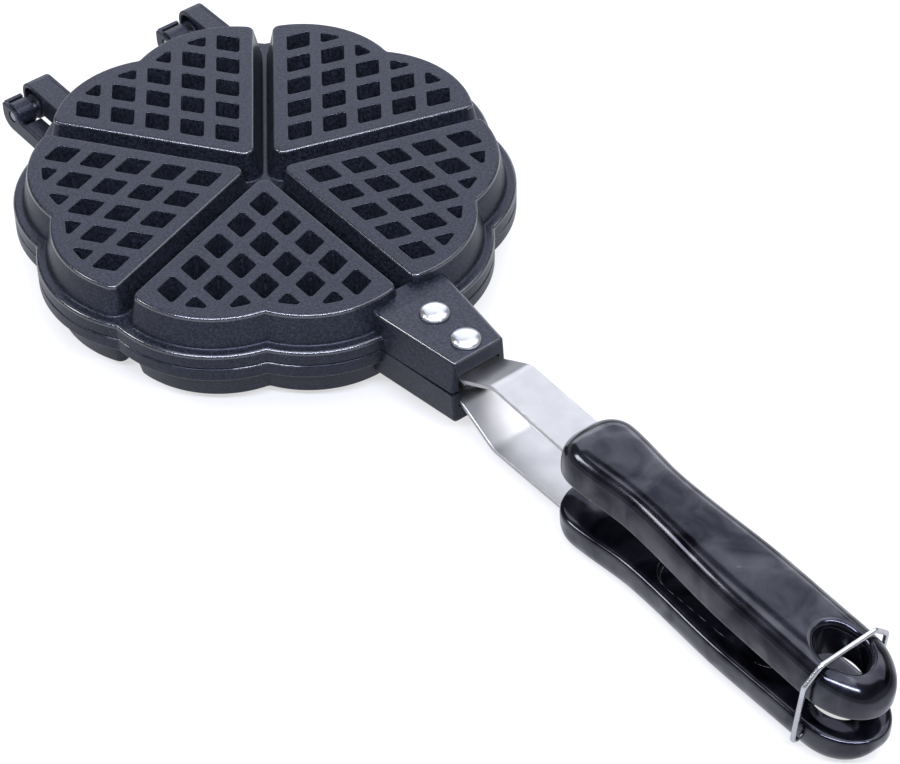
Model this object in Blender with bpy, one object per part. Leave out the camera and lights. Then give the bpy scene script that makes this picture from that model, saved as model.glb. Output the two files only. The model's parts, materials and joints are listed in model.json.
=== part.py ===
"""Heart waffle pan: two identical castings hinged at the far side, each with a steel strap and a moulded grip.

Lengths are in metres. Each half is drawn in its own frame: +X along the handle, the joint face at zero height and
the cooking plate's outer face at +Z. The upper half stays so and the lower half is the same, turned half a turn
about X, so that the hinge arms of the two interleave.
"""

import math

import bmesh
import bpy
from mathutils import Matrix, Vector

# Clearances
gap = 0.0003
overrun = 0.004
joint_gap = 0.0003

# Hearts of the cooking plate
heart_count = 5
plateau_height = 0.0179
gap_half = 0.0037
lobe_radius = 0.0389
lobe_reach = 0.0463
lobe_angle = math.radians(20)
apex_radius = 0.0034
corner_radius = 0.0030
wall_spread = 0.0026

# Flange round the hearts
flange_thickness = 0.0060
ledge = 0.0063

# Cavity of each heart
cavity_inset = 0.0032
cavity_spread = 0.0022
cavity_apex_radius = 0.0012
cavity_corner_radius = 0.0030
floor_skin = 0.0030

# Pockets outside and the studs that they make inside
last_row_margin = 0.00188
first_pocket_reach = 0.02255
pocket_rows = 5
pocket_width = 0.0086
pocket_depth = 0.0100
pocket_draft = math.radians(9)
stud_wall = 0.0014
half_pocket_margin = 0.0053
half_stud_margin = 0.0010
pocket_floor = 0.0020

# Bracket for the strap
bracket_overlap = 0.00737
bracket_length = 0.0422
bracket_start_half = 0.0165
bracket_end_half = 0.0107
bracket_top = 0.0139
bracket_spread = 0.0010
bracket_roof = 0.0066
boss_radius = 0.0046
channel_setback = 0.0095

# Hinge
pin_clearance = 0.01496
pin_radius = 0.0020
pin_recess = 0.0003
arm_tip = 0.0066
arm_heights = {"upper": 0.0096, "lower": 0.0066}
arm_corner_radius = 0.0055
arm_length = 0.0308
outer_arm_cheek = 0.0449
outer_arm_open = 0.0365
inner_arm_open = 0.0355
inner_arm_cheek = 0.0255
arm_lip = 0.0035
lip_end = 0.0025
lip_slope_end = 0.0052
arm_wall = 0.0018
barrel_radius = 0.0050
barrel_end_gap = 0.0004
box_length = 0.0070

# Strap
strap_half_width = 0.0086
strap_thickness = 0.0018
strap_setback = 0.0025
strap_root_height = 0.0054
ramp_clearance = 0.0010
ramp_length = 0.0168
handle_height = 0.0144
handle_slopes = {"upper": math.radians(2.4), "lower": math.radians(0.7)}
bend_radius = 0.0045

# Rivets
rivet_setbacks = (0.0087, 0.0257)
rivet_shank_radius = 0.0024
rivet_head_radius = 0.0054
rivet_head_height = 0.0027
rivet_tail_radius = 0.0038
rivet_tail_height = 0.0015

# Grip, in its own frame along the strap's middle
bare_strap_length = 0.0338
grip_length = 0.1425
grip_front_half = 0.0143
grip_waist_half = 0.0123
grip_rear_half = 0.0147
grip_waist_place = 0.0390
grip_rear_setback = 0.0346
grip_nose_length = 0.0130
grip_tail_length = 0.0206
grip_dome_length = 0.0180
grip_edge_drop = 0.0020
grip_back = 0.0098
grip_inner = 0.0055
back_power_share = 3.2
inner_power_share = 4
first_ring_share = 0.5
tang_setback = 0.0364

# Hanging hole and the recess in the inner face
hole_setback = 0.0199
hole_half_length = 0.0098
hole_half_width = 0.0072
hole_flare = 0.0024
hole_flare_depth = 0.0026
recess_front = 0.0295
recess_setback = 0.0186
recess_half_width = 0.0094
recess_floor = 0.0032

# Screw that holds the grip on the tang
screw_setback = 0.0122
screw_radius = 0.0014
screw_head_radius = 0.0029
screw_head_height = 0.0017
screw_tip = 0.0034
screw_slot_half = 0.0004
screw_slot_depth = 0.0009

# Bail, in its own plane through the pivot
bail_setback = 0.0002
bail_pivot_rise = 0.0028
bail_wire_radius = 0.0009
bail_side_gap = 0.0028
bail_top_gap = 0.00085
bail_shoulder_drop = 0.0061
bail_shoulder_run = 0.0061
bail_end_depth = 0.0069
bail_bend_radius = 0.0022
bail_lean = math.radians(4.9)

# Facets
lobe_steps = 9
corner_steps = 3
apex_steps = 3
flange_steps = 8
round_steps = 16
bend_steps = 4
dome_steps = 4
side_steps = 5
end_steps = 5
waist_steps = 6
hole_steps = 24
wire_steps = 8

half_turn = math.pi
heart_half_angle = half_turn / heart_count


def meeting_reach(radius, off_angle):
    """Distance from the middle to where a lobe's edge crosses the line that lies that far from its centre's line."""
    return lobe_reach * math.cos(off_angle) + math.sqrt(radius**2 - (lobe_reach * math.sin(off_angle)) ** 2)


# Places that follow from the castings' outline
flange_radius = lobe_radius + ledge
flange_notch_reach = meeting_reach(flange_radius, lobe_angle)
flange_gap_reach = meeting_reach(flange_radius, heart_half_angle - lobe_angle)
last_row_reach = meeting_reach(lobe_radius, lobe_angle) - last_row_margin
lattice_pitch = (last_row_reach - first_pocket_reach) / (pocket_rows * math.cos(heart_half_angle))
bracket_start = flange_gap_reach - bracket_overlap
bracket_end = bracket_start + bracket_length
channel_start = bracket_start + channel_setback
pin_reach = flange_notch_reach + pin_clearance
arm_root = pin_reach - arm_length
box_root = pin_reach - box_length

# Places along the handle
strap_start = channel_start + strap_setback
rivet_reaches = tuple(channel_start + setback for setback in rivet_setbacks)
ramp_start = bracket_end + ramp_clearance
ramp_end = ramp_start + ramp_length
grip_start = ramp_end + bare_strap_length
hole_place = grip_length - hole_setback
grip_rear_place = hole_place - grip_rear_setback
tang_length = hole_place - tang_setback
screw_place = tang_length - screw_setback
recess_start = screw_place - recess_front
recess_end = hole_place - recess_setback


def handle_line(reach, half):
    """Height of the strap's middle above the joint face, along the grip."""
    return handle_height - (reach - ramp_end) * math.tan(handle_slopes[half])


# Places of the bail, whose top has to pass over the upper grip
bail_pivot_reach = grip_start + hole_place - bail_setback
bail_pivot_height = handle_line(bail_pivot_reach, "lower") + bail_pivot_rise
bail_top_height = bail_pivot_height + handle_line(bail_pivot_reach, "upper") + grip_back + bail_top_gap
bail_shoulder_height = bail_top_height - bail_shoulder_drop
bail_half_width = grip_rear_half + bail_side_gap
bail_top_half = bail_half_width - bail_shoulder_run
bail_inner_end = bail_half_width - bail_end_depth


def clear_scene():
    for obj in list(bpy.data.objects):
        bpy.data.objects.remove(obj, do_unlink=True)


def make_material(name, colour, roughness, metallic):
    made = bpy.data.materials.new(name)
    made.use_nodes = True
    shader = made.node_tree.nodes["Principled BSDF"]
    shader.inputs["Base Color"].default_value = (*colour, 1)
    shader.inputs["Roughness"].default_value = roughness
    shader.inputs["Metallic"].default_value = metallic
    made.diffuse_color = (*colour, 1)
    return made


def polar(radius, angle):
    return Vector((radius * math.cos(angle), radius * math.sin(angle)))


def turned_by(points, angle):
    turn = Matrix.Rotation(angle, 2)
    return [turn @ point for point in points]


def arc(centre, radius, start, end, steps):
    return [centre + polar(radius, start + (end - start) * i / steps) for i in range(steps + 1)]


def heading(vector):
    return math.atan2(vector.y, vector.x)


def smooth(obj, sharp_angle=math.radians(30)):
    obj.data.shade_smooth()
    obj.data.set_sharp_from_angle(angle=sharp_angle)
    return obj


def from_bmesh(name, shape):
    bmesh.ops.remove_doubles(shape, verts=shape.verts, dist=gap / 100)
    bmesh.ops.recalc_face_normals(shape, faces=shape.faces)
    mesh = bpy.data.meshes.new(name)
    shape.to_mesh(mesh)
    shape.free()
    obj = bpy.data.objects.new(name, mesh)
    bpy.context.scene.collection.objects.link(obj)
    return obj


def add_stack(shape, rings):
    """Adds a closed body to a bmesh: rings of 3-D points, each joined to the next, and capped at both ends."""
    rows = [[shape.verts.new(point) for point in ring] for ring in rings]
    count = len(rows[0])
    for low, high in zip(rows, rows[1:]):
        for i in range(count):
            j = (i + 1) % count
            shape.faces.new((low[i], low[j], high[j], high[i]))
    shape.faces.new(rows[0][::-1])
    shape.faces.new(rows[-1])


def level(outline, height):
    return [Vector((point.x, point.y, height)) for point in outline]


def stack_object(name, bodies):
    """One object of closed bodies, each a list of rings."""
    shape = bmesh.new()
    for rings in bodies:
        add_stack(shape, rings)
    return from_bmesh(name, shape)


def upright_profile(profile, low_y, high_y):
    """Rings of a profile in X and Z that is extruded along Y."""
    return [[Vector((x, y, z)) for x, z in profile] for y in (low_y, high_y)]


def cylinder_rings(start, end, radius, steps=round_steps):
    """Rings of a round bar from one point to another along Y or Z."""
    along = end - start
    side = Vector((1, 0, 0))
    other = along.normalized().cross(side)
    ring = [side * point.x + other * point.y for point in arc(Vector((0, 0)), radius, 0, 2 * half_turn, steps)[:-1]]
    return [[start + point for point in ring], [end + point for point in ring]]


def turned_body(name, profile, steps=round_steps):
    """A solid turned about Z from (radius, height) points that start and end on the axis."""
    shape = bmesh.new()
    points = [shape.verts.new((radius, 0, height)) for radius, height in profile]
    edges = [shape.edges.new(pair) for pair in zip(points, points[1:])]
    bmesh.ops.spin(
        shape,
        geom=points + edges,
        cent=(0, 0, 0),
        axis=(0, 0, 1),
        angle=2 * half_turn,
        steps=steps,
        use_merge=True,
    )
    return from_bmesh(name, shape)


def combine(obj, operation, helper):
    """Joins a helper solid to an object, or cuts it away, and removes the helper."""
    modifier = obj.modifiers.new(operation.lower(), "BOOLEAN")
    modifier.operation = operation
    modifier.solver = "EXACT"
    modifier.object = helper
    graph = bpy.context.evaluated_depsgraph_get()
    mesh = bpy.data.meshes.new_from_object(obj.evaluated_get(graph))
    obj.modifiers.clear()
    obj.data = mesh
    bpy.data.objects.remove(helper, do_unlink=True)


def lobe_centre():
    return polar(lobe_reach, lobe_angle)


def heart_outline(inset, apex, corner):
    """One heart seen from above with its axis along +X, drawn in by inset: two round lobes and two straight sides."""
    centre = lobe_centre()
    radius = lobe_radius - inset
    side_offset = gap_half + inset
    along = polar(1, heart_half_angle)
    across = Vector((along.y, -along.x))
    notch = Vector((meeting_reach(radius, lobe_angle), 0))
    start = across * (side_offset + corner) - centre
    reach = -along.dot(start) + math.sqrt(along.dot(start) ** 2 - start.length_squared + (radius - corner) ** 2)
    corner_centre = across * (side_offset + corner) + along * reach
    apex_centre = Vector(((side_offset + apex) / math.sin(heart_half_angle), 0))
    side_heading = heading(-across)
    lobe_end = heading(corner_centre - centre)
    upper = arc(centre, radius, heading(notch - centre), lobe_end, lobe_steps)
    upper += arc(corner_centre, corner, lobe_end, side_heading, corner_steps)[1:]
    upper += arc(apex_centre, apex, side_heading, half_turn, apex_steps)
    lower = [Vector((point.x, -point.y)) for point in upper[-2:0:-1]]
    return upper + lower


def heart_angles():
    return [heart_half_angle * (2 * index + 1) for index in range(heart_count)]


def flange_outline():
    """Ten round lobes, two to a heart, that meet in a notch on each heart's axis and at each gap."""
    centre = lobe_centre()
    on_axis = Vector((flange_notch_reach, 0))
    at_gap = polar(flange_gap_reach, heart_half_angle)
    upper = arc(centre, flange_radius, heading(on_axis - centre), heading(at_gap - centre), flange_steps)
    lower = [Vector((point.x, -point.y)) for point in upper[:0:-1]]
    points = []
    for angle in heart_angles():
        points += turned_by(lower + upper[:-1], angle)
    return points


def rhombus(width):
    """A pocket's outline about its own centre, with two sides along each side of the heart."""
    side = width / math.sin(2 * heart_half_angle)
    long_half = side * math.cos(heart_half_angle)
    short_half = side * math.sin(heart_half_angle)
    return [Vector((long_half, 0)), Vector((0, short_half)), Vector((-long_half, 0)), Vector((0, -short_half))]


def clipped(outline, origin, direction, reach):
    """The part of a convex outline that lies less than reach from the origin along a direction."""
    kept = []
    for first, second in zip(outline, outline[1:] + outline[:1]):
        before = reach - (first - origin).dot(direction)
        after = reach - (second - origin).dot(direction)
        if before > 0:
            kept.append(first)
        if before * after < 0:
            kept.append(first.lerp(second, before / (before - after)))
    return kept


def pocket_places():
    """Centres of a heart's pockets, each with whether the heart's edge cuts it in half."""
    places = []
    for row in range(pocket_rows + 1):
        for column in range(pocket_rows + 1 - row):
            centre = Vector((first_pocket_reach, 0))
            centre += polar(row * lattice_pitch, heart_half_angle) + polar(column * lattice_pitch, -heart_half_angle)
            on_edge = row + column == pocket_rows
            if not (on_edge and pocket_rows in (row, column)):
                places.append((centre, on_edge))
    return places


def drawn_in(outline, distance):
    """A convex outline scaled about its middle, so that its nearest side moves inwards by the distance."""
    middle = sum(outline, Vector((0, 0))) / len(outline)
    reaches = []
    for first, second in zip(outline, outline[1:] + outline[:1]):
        along = (second - first).normalized()
        reaches.append(abs((middle - first).cross(along)))
    return [middle + (point - middle) * (1 - distance / min(reaches)) for point in outline]


def lattice_bodies(width, low, high, rise, margin):
    """Tapered rhombic bodies, one for each pocket of each heart. The width is that of the wider, upper end."""
    bodies = []
    for centre, on_edge in pocket_places():
        top = [centre + point for point in rhombus(width)]
        if on_edge:
            lobe = lobe_centre()
            lobe.y = math.copysign(lobe.y, centre.y)
            top = clipped(top, lobe, (centre - lobe).normalized(), lobe_radius - margin)
        bottom = drawn_in(top, (high - low) * math.tan(pocket_draft))
        wide = drawn_in(top, -rise * math.tan(pocket_draft))
        for angle in heart_angles():
            rings = ((bottom, low), (top, high), (wide, high + rise))
            bodies.append([level(turned_by(outline, angle), height) for outline, height in rings])
    return bodies


def arm_object(cheek, open_side, height):
    """A hinge arm: a box open towards the joint face and towards its neighbour, with a barrel round the pin."""
    inward = math.copysign(1, open_side - cheek)
    pin = -pin_reach
    tip = pin - arm_tip
    corner = Vector((tip + arm_corner_radius, height - arm_corner_radius))
    profile = [tuple(point) for point in arc(corner, arm_corner_radius, half_turn, half_turn / 2, bend_steps)]
    profile += [(-arm_root, height), (-arm_root, joint_gap / 2)]
    profile += [(pin + lip_slope_end, joint_gap / 2), (pin + lip_end, -arm_lip), (tip, -arm_lip)]
    arm = stack_object("arm", [upright_profile(profile, *sorted((cheek, open_side)))])
    low = -arm_lip - overrun
    high = height - arm_wall
    box = [(tip + arm_wall, low), (-box_root, low), (-box_root, high), (tip + arm_wall, high)]
    spans = sorted((cheek + inward * arm_wall, open_side + inward * overrun))
    combine(arm, "DIFFERENCE", stack_object("box", [upright_profile(box, *spans)]))
    start = Vector((pin, cheek + inward * arm_wall / 2, 0))
    end = Vector((pin, open_side - inward * barrel_end_gap, 0))
    combine(arm, "UNION", stack_object("barrel", [cylinder_rings(start, end, barrel_radius)]))
    return arm


def bracket_outline(spread):
    start_half = bracket_start_half + spread
    end_half = bracket_end_half + spread
    return [
        Vector((bracket_start, -start_half)),
        Vector((bracket_end + spread, -end_half)),
        Vector((bracket_end + spread, end_half)),
        Vector((bracket_start, start_half)),
    ]


def bracket_object():
    """The tapered block that carries the strap."""
    rings = [level(bracket_outline(bracket_spread), joint_gap / 2), level(bracket_outline(0), bracket_top)]
    return stack_object("bracket", [rings])


def channel_cutter():
    """The hollow that the strap lies in, open at the bracket's end and at the joint face."""
    half = strap_half_width + gap
    outline = [
        Vector((channel_start, -half)),
        Vector((bracket_end + overrun, -half)),
        Vector((bracket_end + overrun, half)),
        Vector((channel_start, half)),
    ]
    return stack_object("channel", [[level(outline, -overrun), level(outline, bracket_top - bracket_roof)]])


def boss_rings(reach):
    """A boss in the channel that the strap is riveted against."""
    return upright_hole(reach, boss_radius, strap_root_height + strap_thickness / 2 + gap, bracket_top - bracket_roof / 2)


def upright_hole(reach, radius, low, high):
    start = Vector((reach, 0, low))
    end = Vector((reach, 0, high))
    return cylinder_rings(start, end, radius)


def plate_mesh(arm_height):
    """One casting: flange, five hearts with their cavities, studs and pockets, bracket and two hinge arms."""
    base = level(flange_outline(), joint_gap / 2)
    plate = stack_object("plate", [[base, level(flange_outline(), flange_thickness)]])
    foot = heart_outline(-wall_spread, apex_radius + wall_spread, corner_radius + wall_spread)
    crown = heart_outline(0, apex_radius, corner_radius)
    buried = flange_thickness / 2
    hearts = [
        [
            level(turned_by(foot, angle), buried),
            level(turned_by(foot, angle), flange_thickness),
            level(turned_by(crown, angle), plateau_height),
        ]
        for angle in heart_angles()
    ]
    combine(plate, "UNION", stack_object("hearts", hearts))
    combine(plate, "UNION", bracket_object())
    combine(plate, "UNION", arm_object(outer_arm_cheek, outer_arm_open, arm_height))
    combine(plate, "UNION", arm_object(-inner_arm_cheek, -inner_arm_open, arm_height))
    cavity_roof = plateau_height - floor_skin
    mouth = heart_outline(cavity_inset - cavity_spread, cavity_apex_radius, cavity_corner_radius)
    roof = heart_outline(cavity_inset, cavity_apex_radius, cavity_corner_radius)
    cavities = [
        [
            level(turned_by(mouth, angle), -overrun),
            level(turned_by(mouth, angle), joint_gap / 2),
            level(turned_by(roof, angle), cavity_roof),
        ]
        for angle in heart_angles()
    ]
    combine(plate, "DIFFERENCE", stack_object("cavities", cavities))
    pocket_bottom = plateau_height - pocket_depth
    stud_width = pocket_width - 2 * floor_skin * math.tan(pocket_draft) + 2 * stud_wall
    studs = lattice_bodies(
        stud_width, pocket_bottom - pocket_floor, cavity_roof, floor_skin / 2, half_stud_margin
    )
    combine(plate, "UNION", stack_object("studs", studs))
    pockets = lattice_bodies(pocket_width, pocket_bottom, plateau_height, overrun, half_pocket_margin)
    combine(plate, "DIFFERENCE", stack_object("pockets", pockets))
    combine(plate, "DIFFERENCE", channel_cutter())
    combine(plate, "UNION", stack_object("bosses", [boss_rings(reach) for reach in rivet_reaches]))
    shank_hole = rivet_shank_radius + gap
    rivet_holes = [upright_hole(reach, shank_hole, -overrun, bracket_top + overrun) for reach in rivet_reaches]
    combine(plate, "DIFFERENCE", stack_object("rivet holes", rivet_holes))
    bore = pin_radius + gap
    bores = []
    for side in (1, -1):
        start = Vector((-pin_reach, side * (inner_arm_cheek - overrun), 0))
        end = Vector((-pin_reach, side * (outer_arm_cheek + overrun), 0))
        bores.append(cylinder_rings(start, end, bore))
    combine(plate, "DIFFERENCE", stack_object("bores", bores))
    smooth(plate)
    mesh = plate.data
    bpy.data.objects.remove(plate)
    return mesh


def grip_frame(half):
    """Where the grip's own frame lies in its half: at the nose, along the strap's middle."""
    place = Vector((grip_start, 0, handle_line(grip_start, half)))
    return Matrix.Translation(place) @ Matrix.Rotation(handle_slopes[half], 4, "Y")


def rounded_path(points, radius, steps):
    """A path in two dimensions with its inner corners rounded."""
    path = [points[0]]
    for before, corner, after in zip(points, points[1:], points[2:]):
        inward = (before - corner).normalized()
        outward = (after - corner).normalized()
        half = inward.angle(outward) / 2
        middle = corner + (inward + outward).normalized() * radius / math.sin(half)
        first = corner + inward * radius / math.tan(half) - middle
        last = corner + outward * radius / math.tan(half) - middle
        sweep = (heading(last) - heading(first) + half_turn) % (2 * half_turn) - half_turn
        path += arc(middle, radius, heading(first), heading(first) + sweep, steps)
    return path + [points[-1]]


def offset_path(path, distance):
    """The same path moved sideways, to its left if the distance is positive."""
    moved = []
    for i, point in enumerate(path):
        before = path[max(i - 1, 0)]
        after = path[min(i + 1, len(path) - 1)]
        along = (after - before).normalized()
        moved.append(point + Vector((-along.y, along.x)) * distance)
    return moved


def strap_mesh(half):
    """A flat steel strap, bent up out of the bracket and then along the grip."""
    corners = [
        Vector((strap_start, strap_root_height)),
        Vector((ramp_start, strap_root_height)),
        Vector((ramp_end, handle_height)),
        Vector((grip_start, handle_line(grip_start, half))) + polar(tang_length, -handle_slopes[half]),
    ]
    path = rounded_path(corners, bend_radius, bend_steps)
    left = offset_path(path, strap_thickness / 2)
    right = offset_path(path, -strap_thickness / 2)
    profile = [(point.x, point.y) for point in left + right[::-1]]
    strap = stack_object("strap", [upright_profile(profile, -strap_half_width, strap_half_width)])
    holes = [
        upright_hole(reach, rivet_shank_radius + gap, strap_root_height - overrun, strap_root_height + overrun)
        for reach in rivet_reaches
    ]
    start, end = (grip_frame(half) @ Vector((screw_place, 0, height)) for height in (-overrun, overrun))
    holes.append(cylinder_rings(start, end, screw_radius + gap))
    combine(strap, "DIFFERENCE", stack_object("strap holes", holes))
    smooth(strap)
    mesh = strap.data
    bpy.data.objects.remove(strap)
    return mesh


def rivet_mesh():
    """A domed rivet with its tail set under the strap. Its origin is on the joint face."""
    seat = bracket_top + gap
    tail = strap_root_height - strap_thickness / 2 - gap
    profile = [(0, tail - rivet_tail_height), (rivet_tail_radius, tail - rivet_tail_height), (rivet_tail_radius, tail)]
    profile += [(rivet_shank_radius, tail), (rivet_shank_radius, seat)]
    for i in range(dome_steps):
        turn = half_turn / 2 * i / dome_steps
        profile.append((rivet_head_radius * math.cos(turn), seat + rivet_head_height * math.sin(turn)))
    profile.append((0, seat + rivet_head_height))
    rivet = smooth(turned_body("rivet", profile))
    mesh = rivet.data
    bpy.data.objects.remove(rivet)
    return mesh


def eased(share):
    return share * share * (3 - 2 * share)


def round_end(distance, length):
    """Share of the full size at a distance from the tip of an elliptical end."""
    left = max(1 - distance / length, 0)
    return math.sqrt(1 - left * left)


def end_places(length):
    """Distances from the tip of an elliptical end, closer together near the tip."""
    first = first_ring_share
    turns = [half_turn / 2 * (i + first) / (end_steps + first) for i in range(end_steps + 1)]
    return [length * (1 - math.cos(turn)) for turn in turns]


def grip_half_width_at(place):
    """The grip swells behind its nose, narrows at a waist and swells again towards the rear."""
    if place < grip_waist_place:
        share = eased(max(place - grip_nose_length, 0) / (grip_waist_place - grip_nose_length))
        width = grip_front_half + (grip_waist_half - grip_front_half) * share
    else:
        share = eased(min((place - grip_waist_place) / (grip_rear_place - grip_waist_place), 1))
        width = grip_waist_half + (grip_rear_half - grip_waist_half) * share
    return width * round_end(place, grip_nose_length) * round_end(grip_length - place, grip_tail_length)


def grip_ring(place):
    """One section of the grip: a domed back over its widest line, and a flatter inner face under it."""
    width = grip_half_width_at(place)
    domed = round_end(place, grip_nose_length) * round_end(grip_length - place, grip_dome_length)
    back = (grip_back + grip_edge_drop) * domed
    inner = (grip_inner - grip_edge_drop) * domed ** (1 / inner_power_share)
    ring = []
    for power, height, start in ((back_power_share, back, 0), (inner_power_share, -inner, half_turn)):
        for i in range(2 * side_steps):
            turn = start + half_turn * i / (2 * side_steps)
            across = math.copysign(abs(math.cos(turn)) ** (2 / power), math.cos(turn))
            rise = abs(math.sin(turn)) ** (2 / power)
            ring.append(Vector((place, width * across, height * rise - grip_edge_drop)))
    return ring


def ellipse(centre, half_length, half_width, height):
    points = arc(Vector((0, 0)), 1, 0, 2 * half_turn, hole_steps)[:-1]
    return [Vector((centre + half_length * point.x, half_width * point.y, height)) for point in points]


def recess_outline():
    """A long oval with round ends."""
    front = Vector((recess_start + recess_half_width, 0))
    rear = Vector((recess_end - recess_half_width, 0))
    points = arc(front, recess_half_width, half_turn / 2, 3 * half_turn / 2, 2 * end_steps)
    return points + arc(rear, recess_half_width, -half_turn / 2, half_turn / 2, 2 * end_steps)


def grip_mesh(half):
    """A moulded grip with the tang's slot, a recess for the screw and a hanging hole. The lower takes the bail."""
    tail = [grip_length - distance for distance in end_places(grip_tail_length)]
    waist_length = tail[-1] - grip_nose_length
    waist = [grip_nose_length + waist_length * i / waist_steps for i in range(1, waist_steps)]
    places = end_places(grip_nose_length) + waist + tail[::-1]
    grip = stack_object("grip", [[grip_ring(place) for place in places]])
    half_width = strap_half_width + gap
    half_height = strap_thickness / 2 + gap
    slot = [(-overrun, half_height), (tang_length + gap, half_height)]
    slot += [(place, -height) for place, height in slot[::-1]]
    combine(grip, "DIFFERENCE", stack_object("slot", [upright_profile(slot, -half_width, half_width)]))
    recess = recess_outline()
    below = -grip_inner - overrun
    combine(grip, "DIFFERENCE", stack_object("recess", [[level(recess, below), level(recess, -recess_floor)]]))
    bore = [
        ellipse(hole_place, hole_half_length, hole_half_width, below),
        ellipse(hole_place, hole_half_length, hole_half_width, grip_back - hole_flare_depth),
        ellipse(hole_place, hole_half_length + hole_flare, hole_half_width + hole_flare, grip_back),
        ellipse(hole_place, hole_half_length + hole_flare, hole_half_width + hole_flare, grip_back + overrun),
    ]
    combine(grip, "DIFFERENCE", stack_object("bore", [bore]))
    screw_hole = upright_hole(screw_place, screw_radius + gap, below, screw_tip + gap)
    combine(grip, "DIFFERENCE", stack_object("screw hole", [screw_hole]))
    if half == "lower":
        pivot = grip_frame(half).inverted() @ Vector((bail_pivot_reach, 0, bail_pivot_height))
        ends = []
        for side in (1, -1):
            start, end = (Vector((0, side * y, 0)) for y in (bail_inner_end - gap, bail_half_width))
            ends.append(cylinder_rings(pivot + start, pivot + end, bail_wire_radius + gap))
        combine(grip, "DIFFERENCE", stack_object("bail holes", ends))
    smooth(grip)
    mesh = grip.data
    bpy.data.objects.remove(grip)
    return mesh


def screw_mesh():
    """A screw that enters from the grip's recess, through the tang and into the grip's back."""
    seat = -recess_floor - gap
    end = seat - screw_head_height
    profile = [(0, end), (screw_head_radius, end), (screw_head_radius, seat)]
    profile += [(screw_radius, seat), (screw_radius, screw_tip), (0, screw_tip)]
    screw = turned_body("screw", profile)
    reach = screw_head_radius + overrun
    sides = ((-reach, -screw_slot_half), (reach, -screw_slot_half), (reach, screw_slot_half), (-reach, screw_slot_half))
    outline = [Vector(side) for side in sides]
    combine(
        screw,
        "DIFFERENCE",
        stack_object("screw slot", [[level(outline, end - overrun), level(outline, end + screw_slot_depth)]]),
    )
    smooth(screw)
    mesh = screw.data
    bpy.data.objects.remove(screw)
    return mesh


def pin_mesh():
    """A plain hinge pin along Y about the hinge's axis."""
    half = (outer_arm_cheek - inner_arm_cheek) / 2 - pin_recess
    pin = smooth(stack_object("pin", [cylinder_rings(Vector((0, -half, 0)), Vector((0, half, 0)), pin_radius)]))
    mesh = pin.data
    bpy.data.objects.remove(pin)
    return mesh


def bail_mesh():
    """A wire loop with its ends bent inwards, drawn upright about its pivot."""
    corners = [
        Vector((bail_inner_end, 0)),
        Vector((bail_half_width, 0)),
        Vector((bail_half_width, bail_shoulder_height)),
        Vector((bail_top_half, bail_top_height)),
    ]
    corners += [Vector((-corner.x, corner.y)) for corner in corners[::-1]]
    path = rounded_path(corners, bail_bend_radius, bend_steps)
    rings = []
    for i, point in enumerate(path):
        along = (path[min(i + 1, len(path) - 1)] - path[max(i - 1, 0)]).normalized()
        across = Vector((-along.y, along.x))
        section = arc(Vector((0, 0)), bail_wire_radius, 0, 2 * half_turn, wire_steps)[:-1]
        rings.append([Vector((p.x, *(point + across * p.y))) for p in section])
    bail = smooth(stack_object("bail", [rings]), half_turn / 3)
    mesh = bail.data
    bpy.data.objects.remove(bail)
    return mesh


def add_empty(name, parent, frame):
    empty = bpy.data.objects.new(name, None)
    bpy.context.scene.collection.objects.link(empty)
    empty.parent = parent
    empty.matrix_local = frame
    return empty


def add_piece(name, mesh, material, parent, frame):
    """One named piece, which may share its mesh with another."""
    piece = bpy.data.objects.new(name, mesh)
    bpy.context.scene.collection.objects.link(piece)
    if not mesh.materials:
        mesh.materials.append(material)
    piece.parent = parent
    piece.matrix_local = frame
    return piece


def stand_on_floor(root, pieces):
    """Moves the whole pan so that its origin is the middle of its box, at the bottom."""
    bpy.context.view_layer.update()
    points = [piece.matrix_world @ vertex.co for piece in pieces for vertex in piece.data.vertices]
    low = Vector(min(point[axis] for point in points) for axis in range(3))
    high = Vector(max(point[axis] for point in points) for axis in range(3))
    root.location = -Vector(((low.x + high.x) / 2, (low.y + high.y) / 2, low.z))


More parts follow.
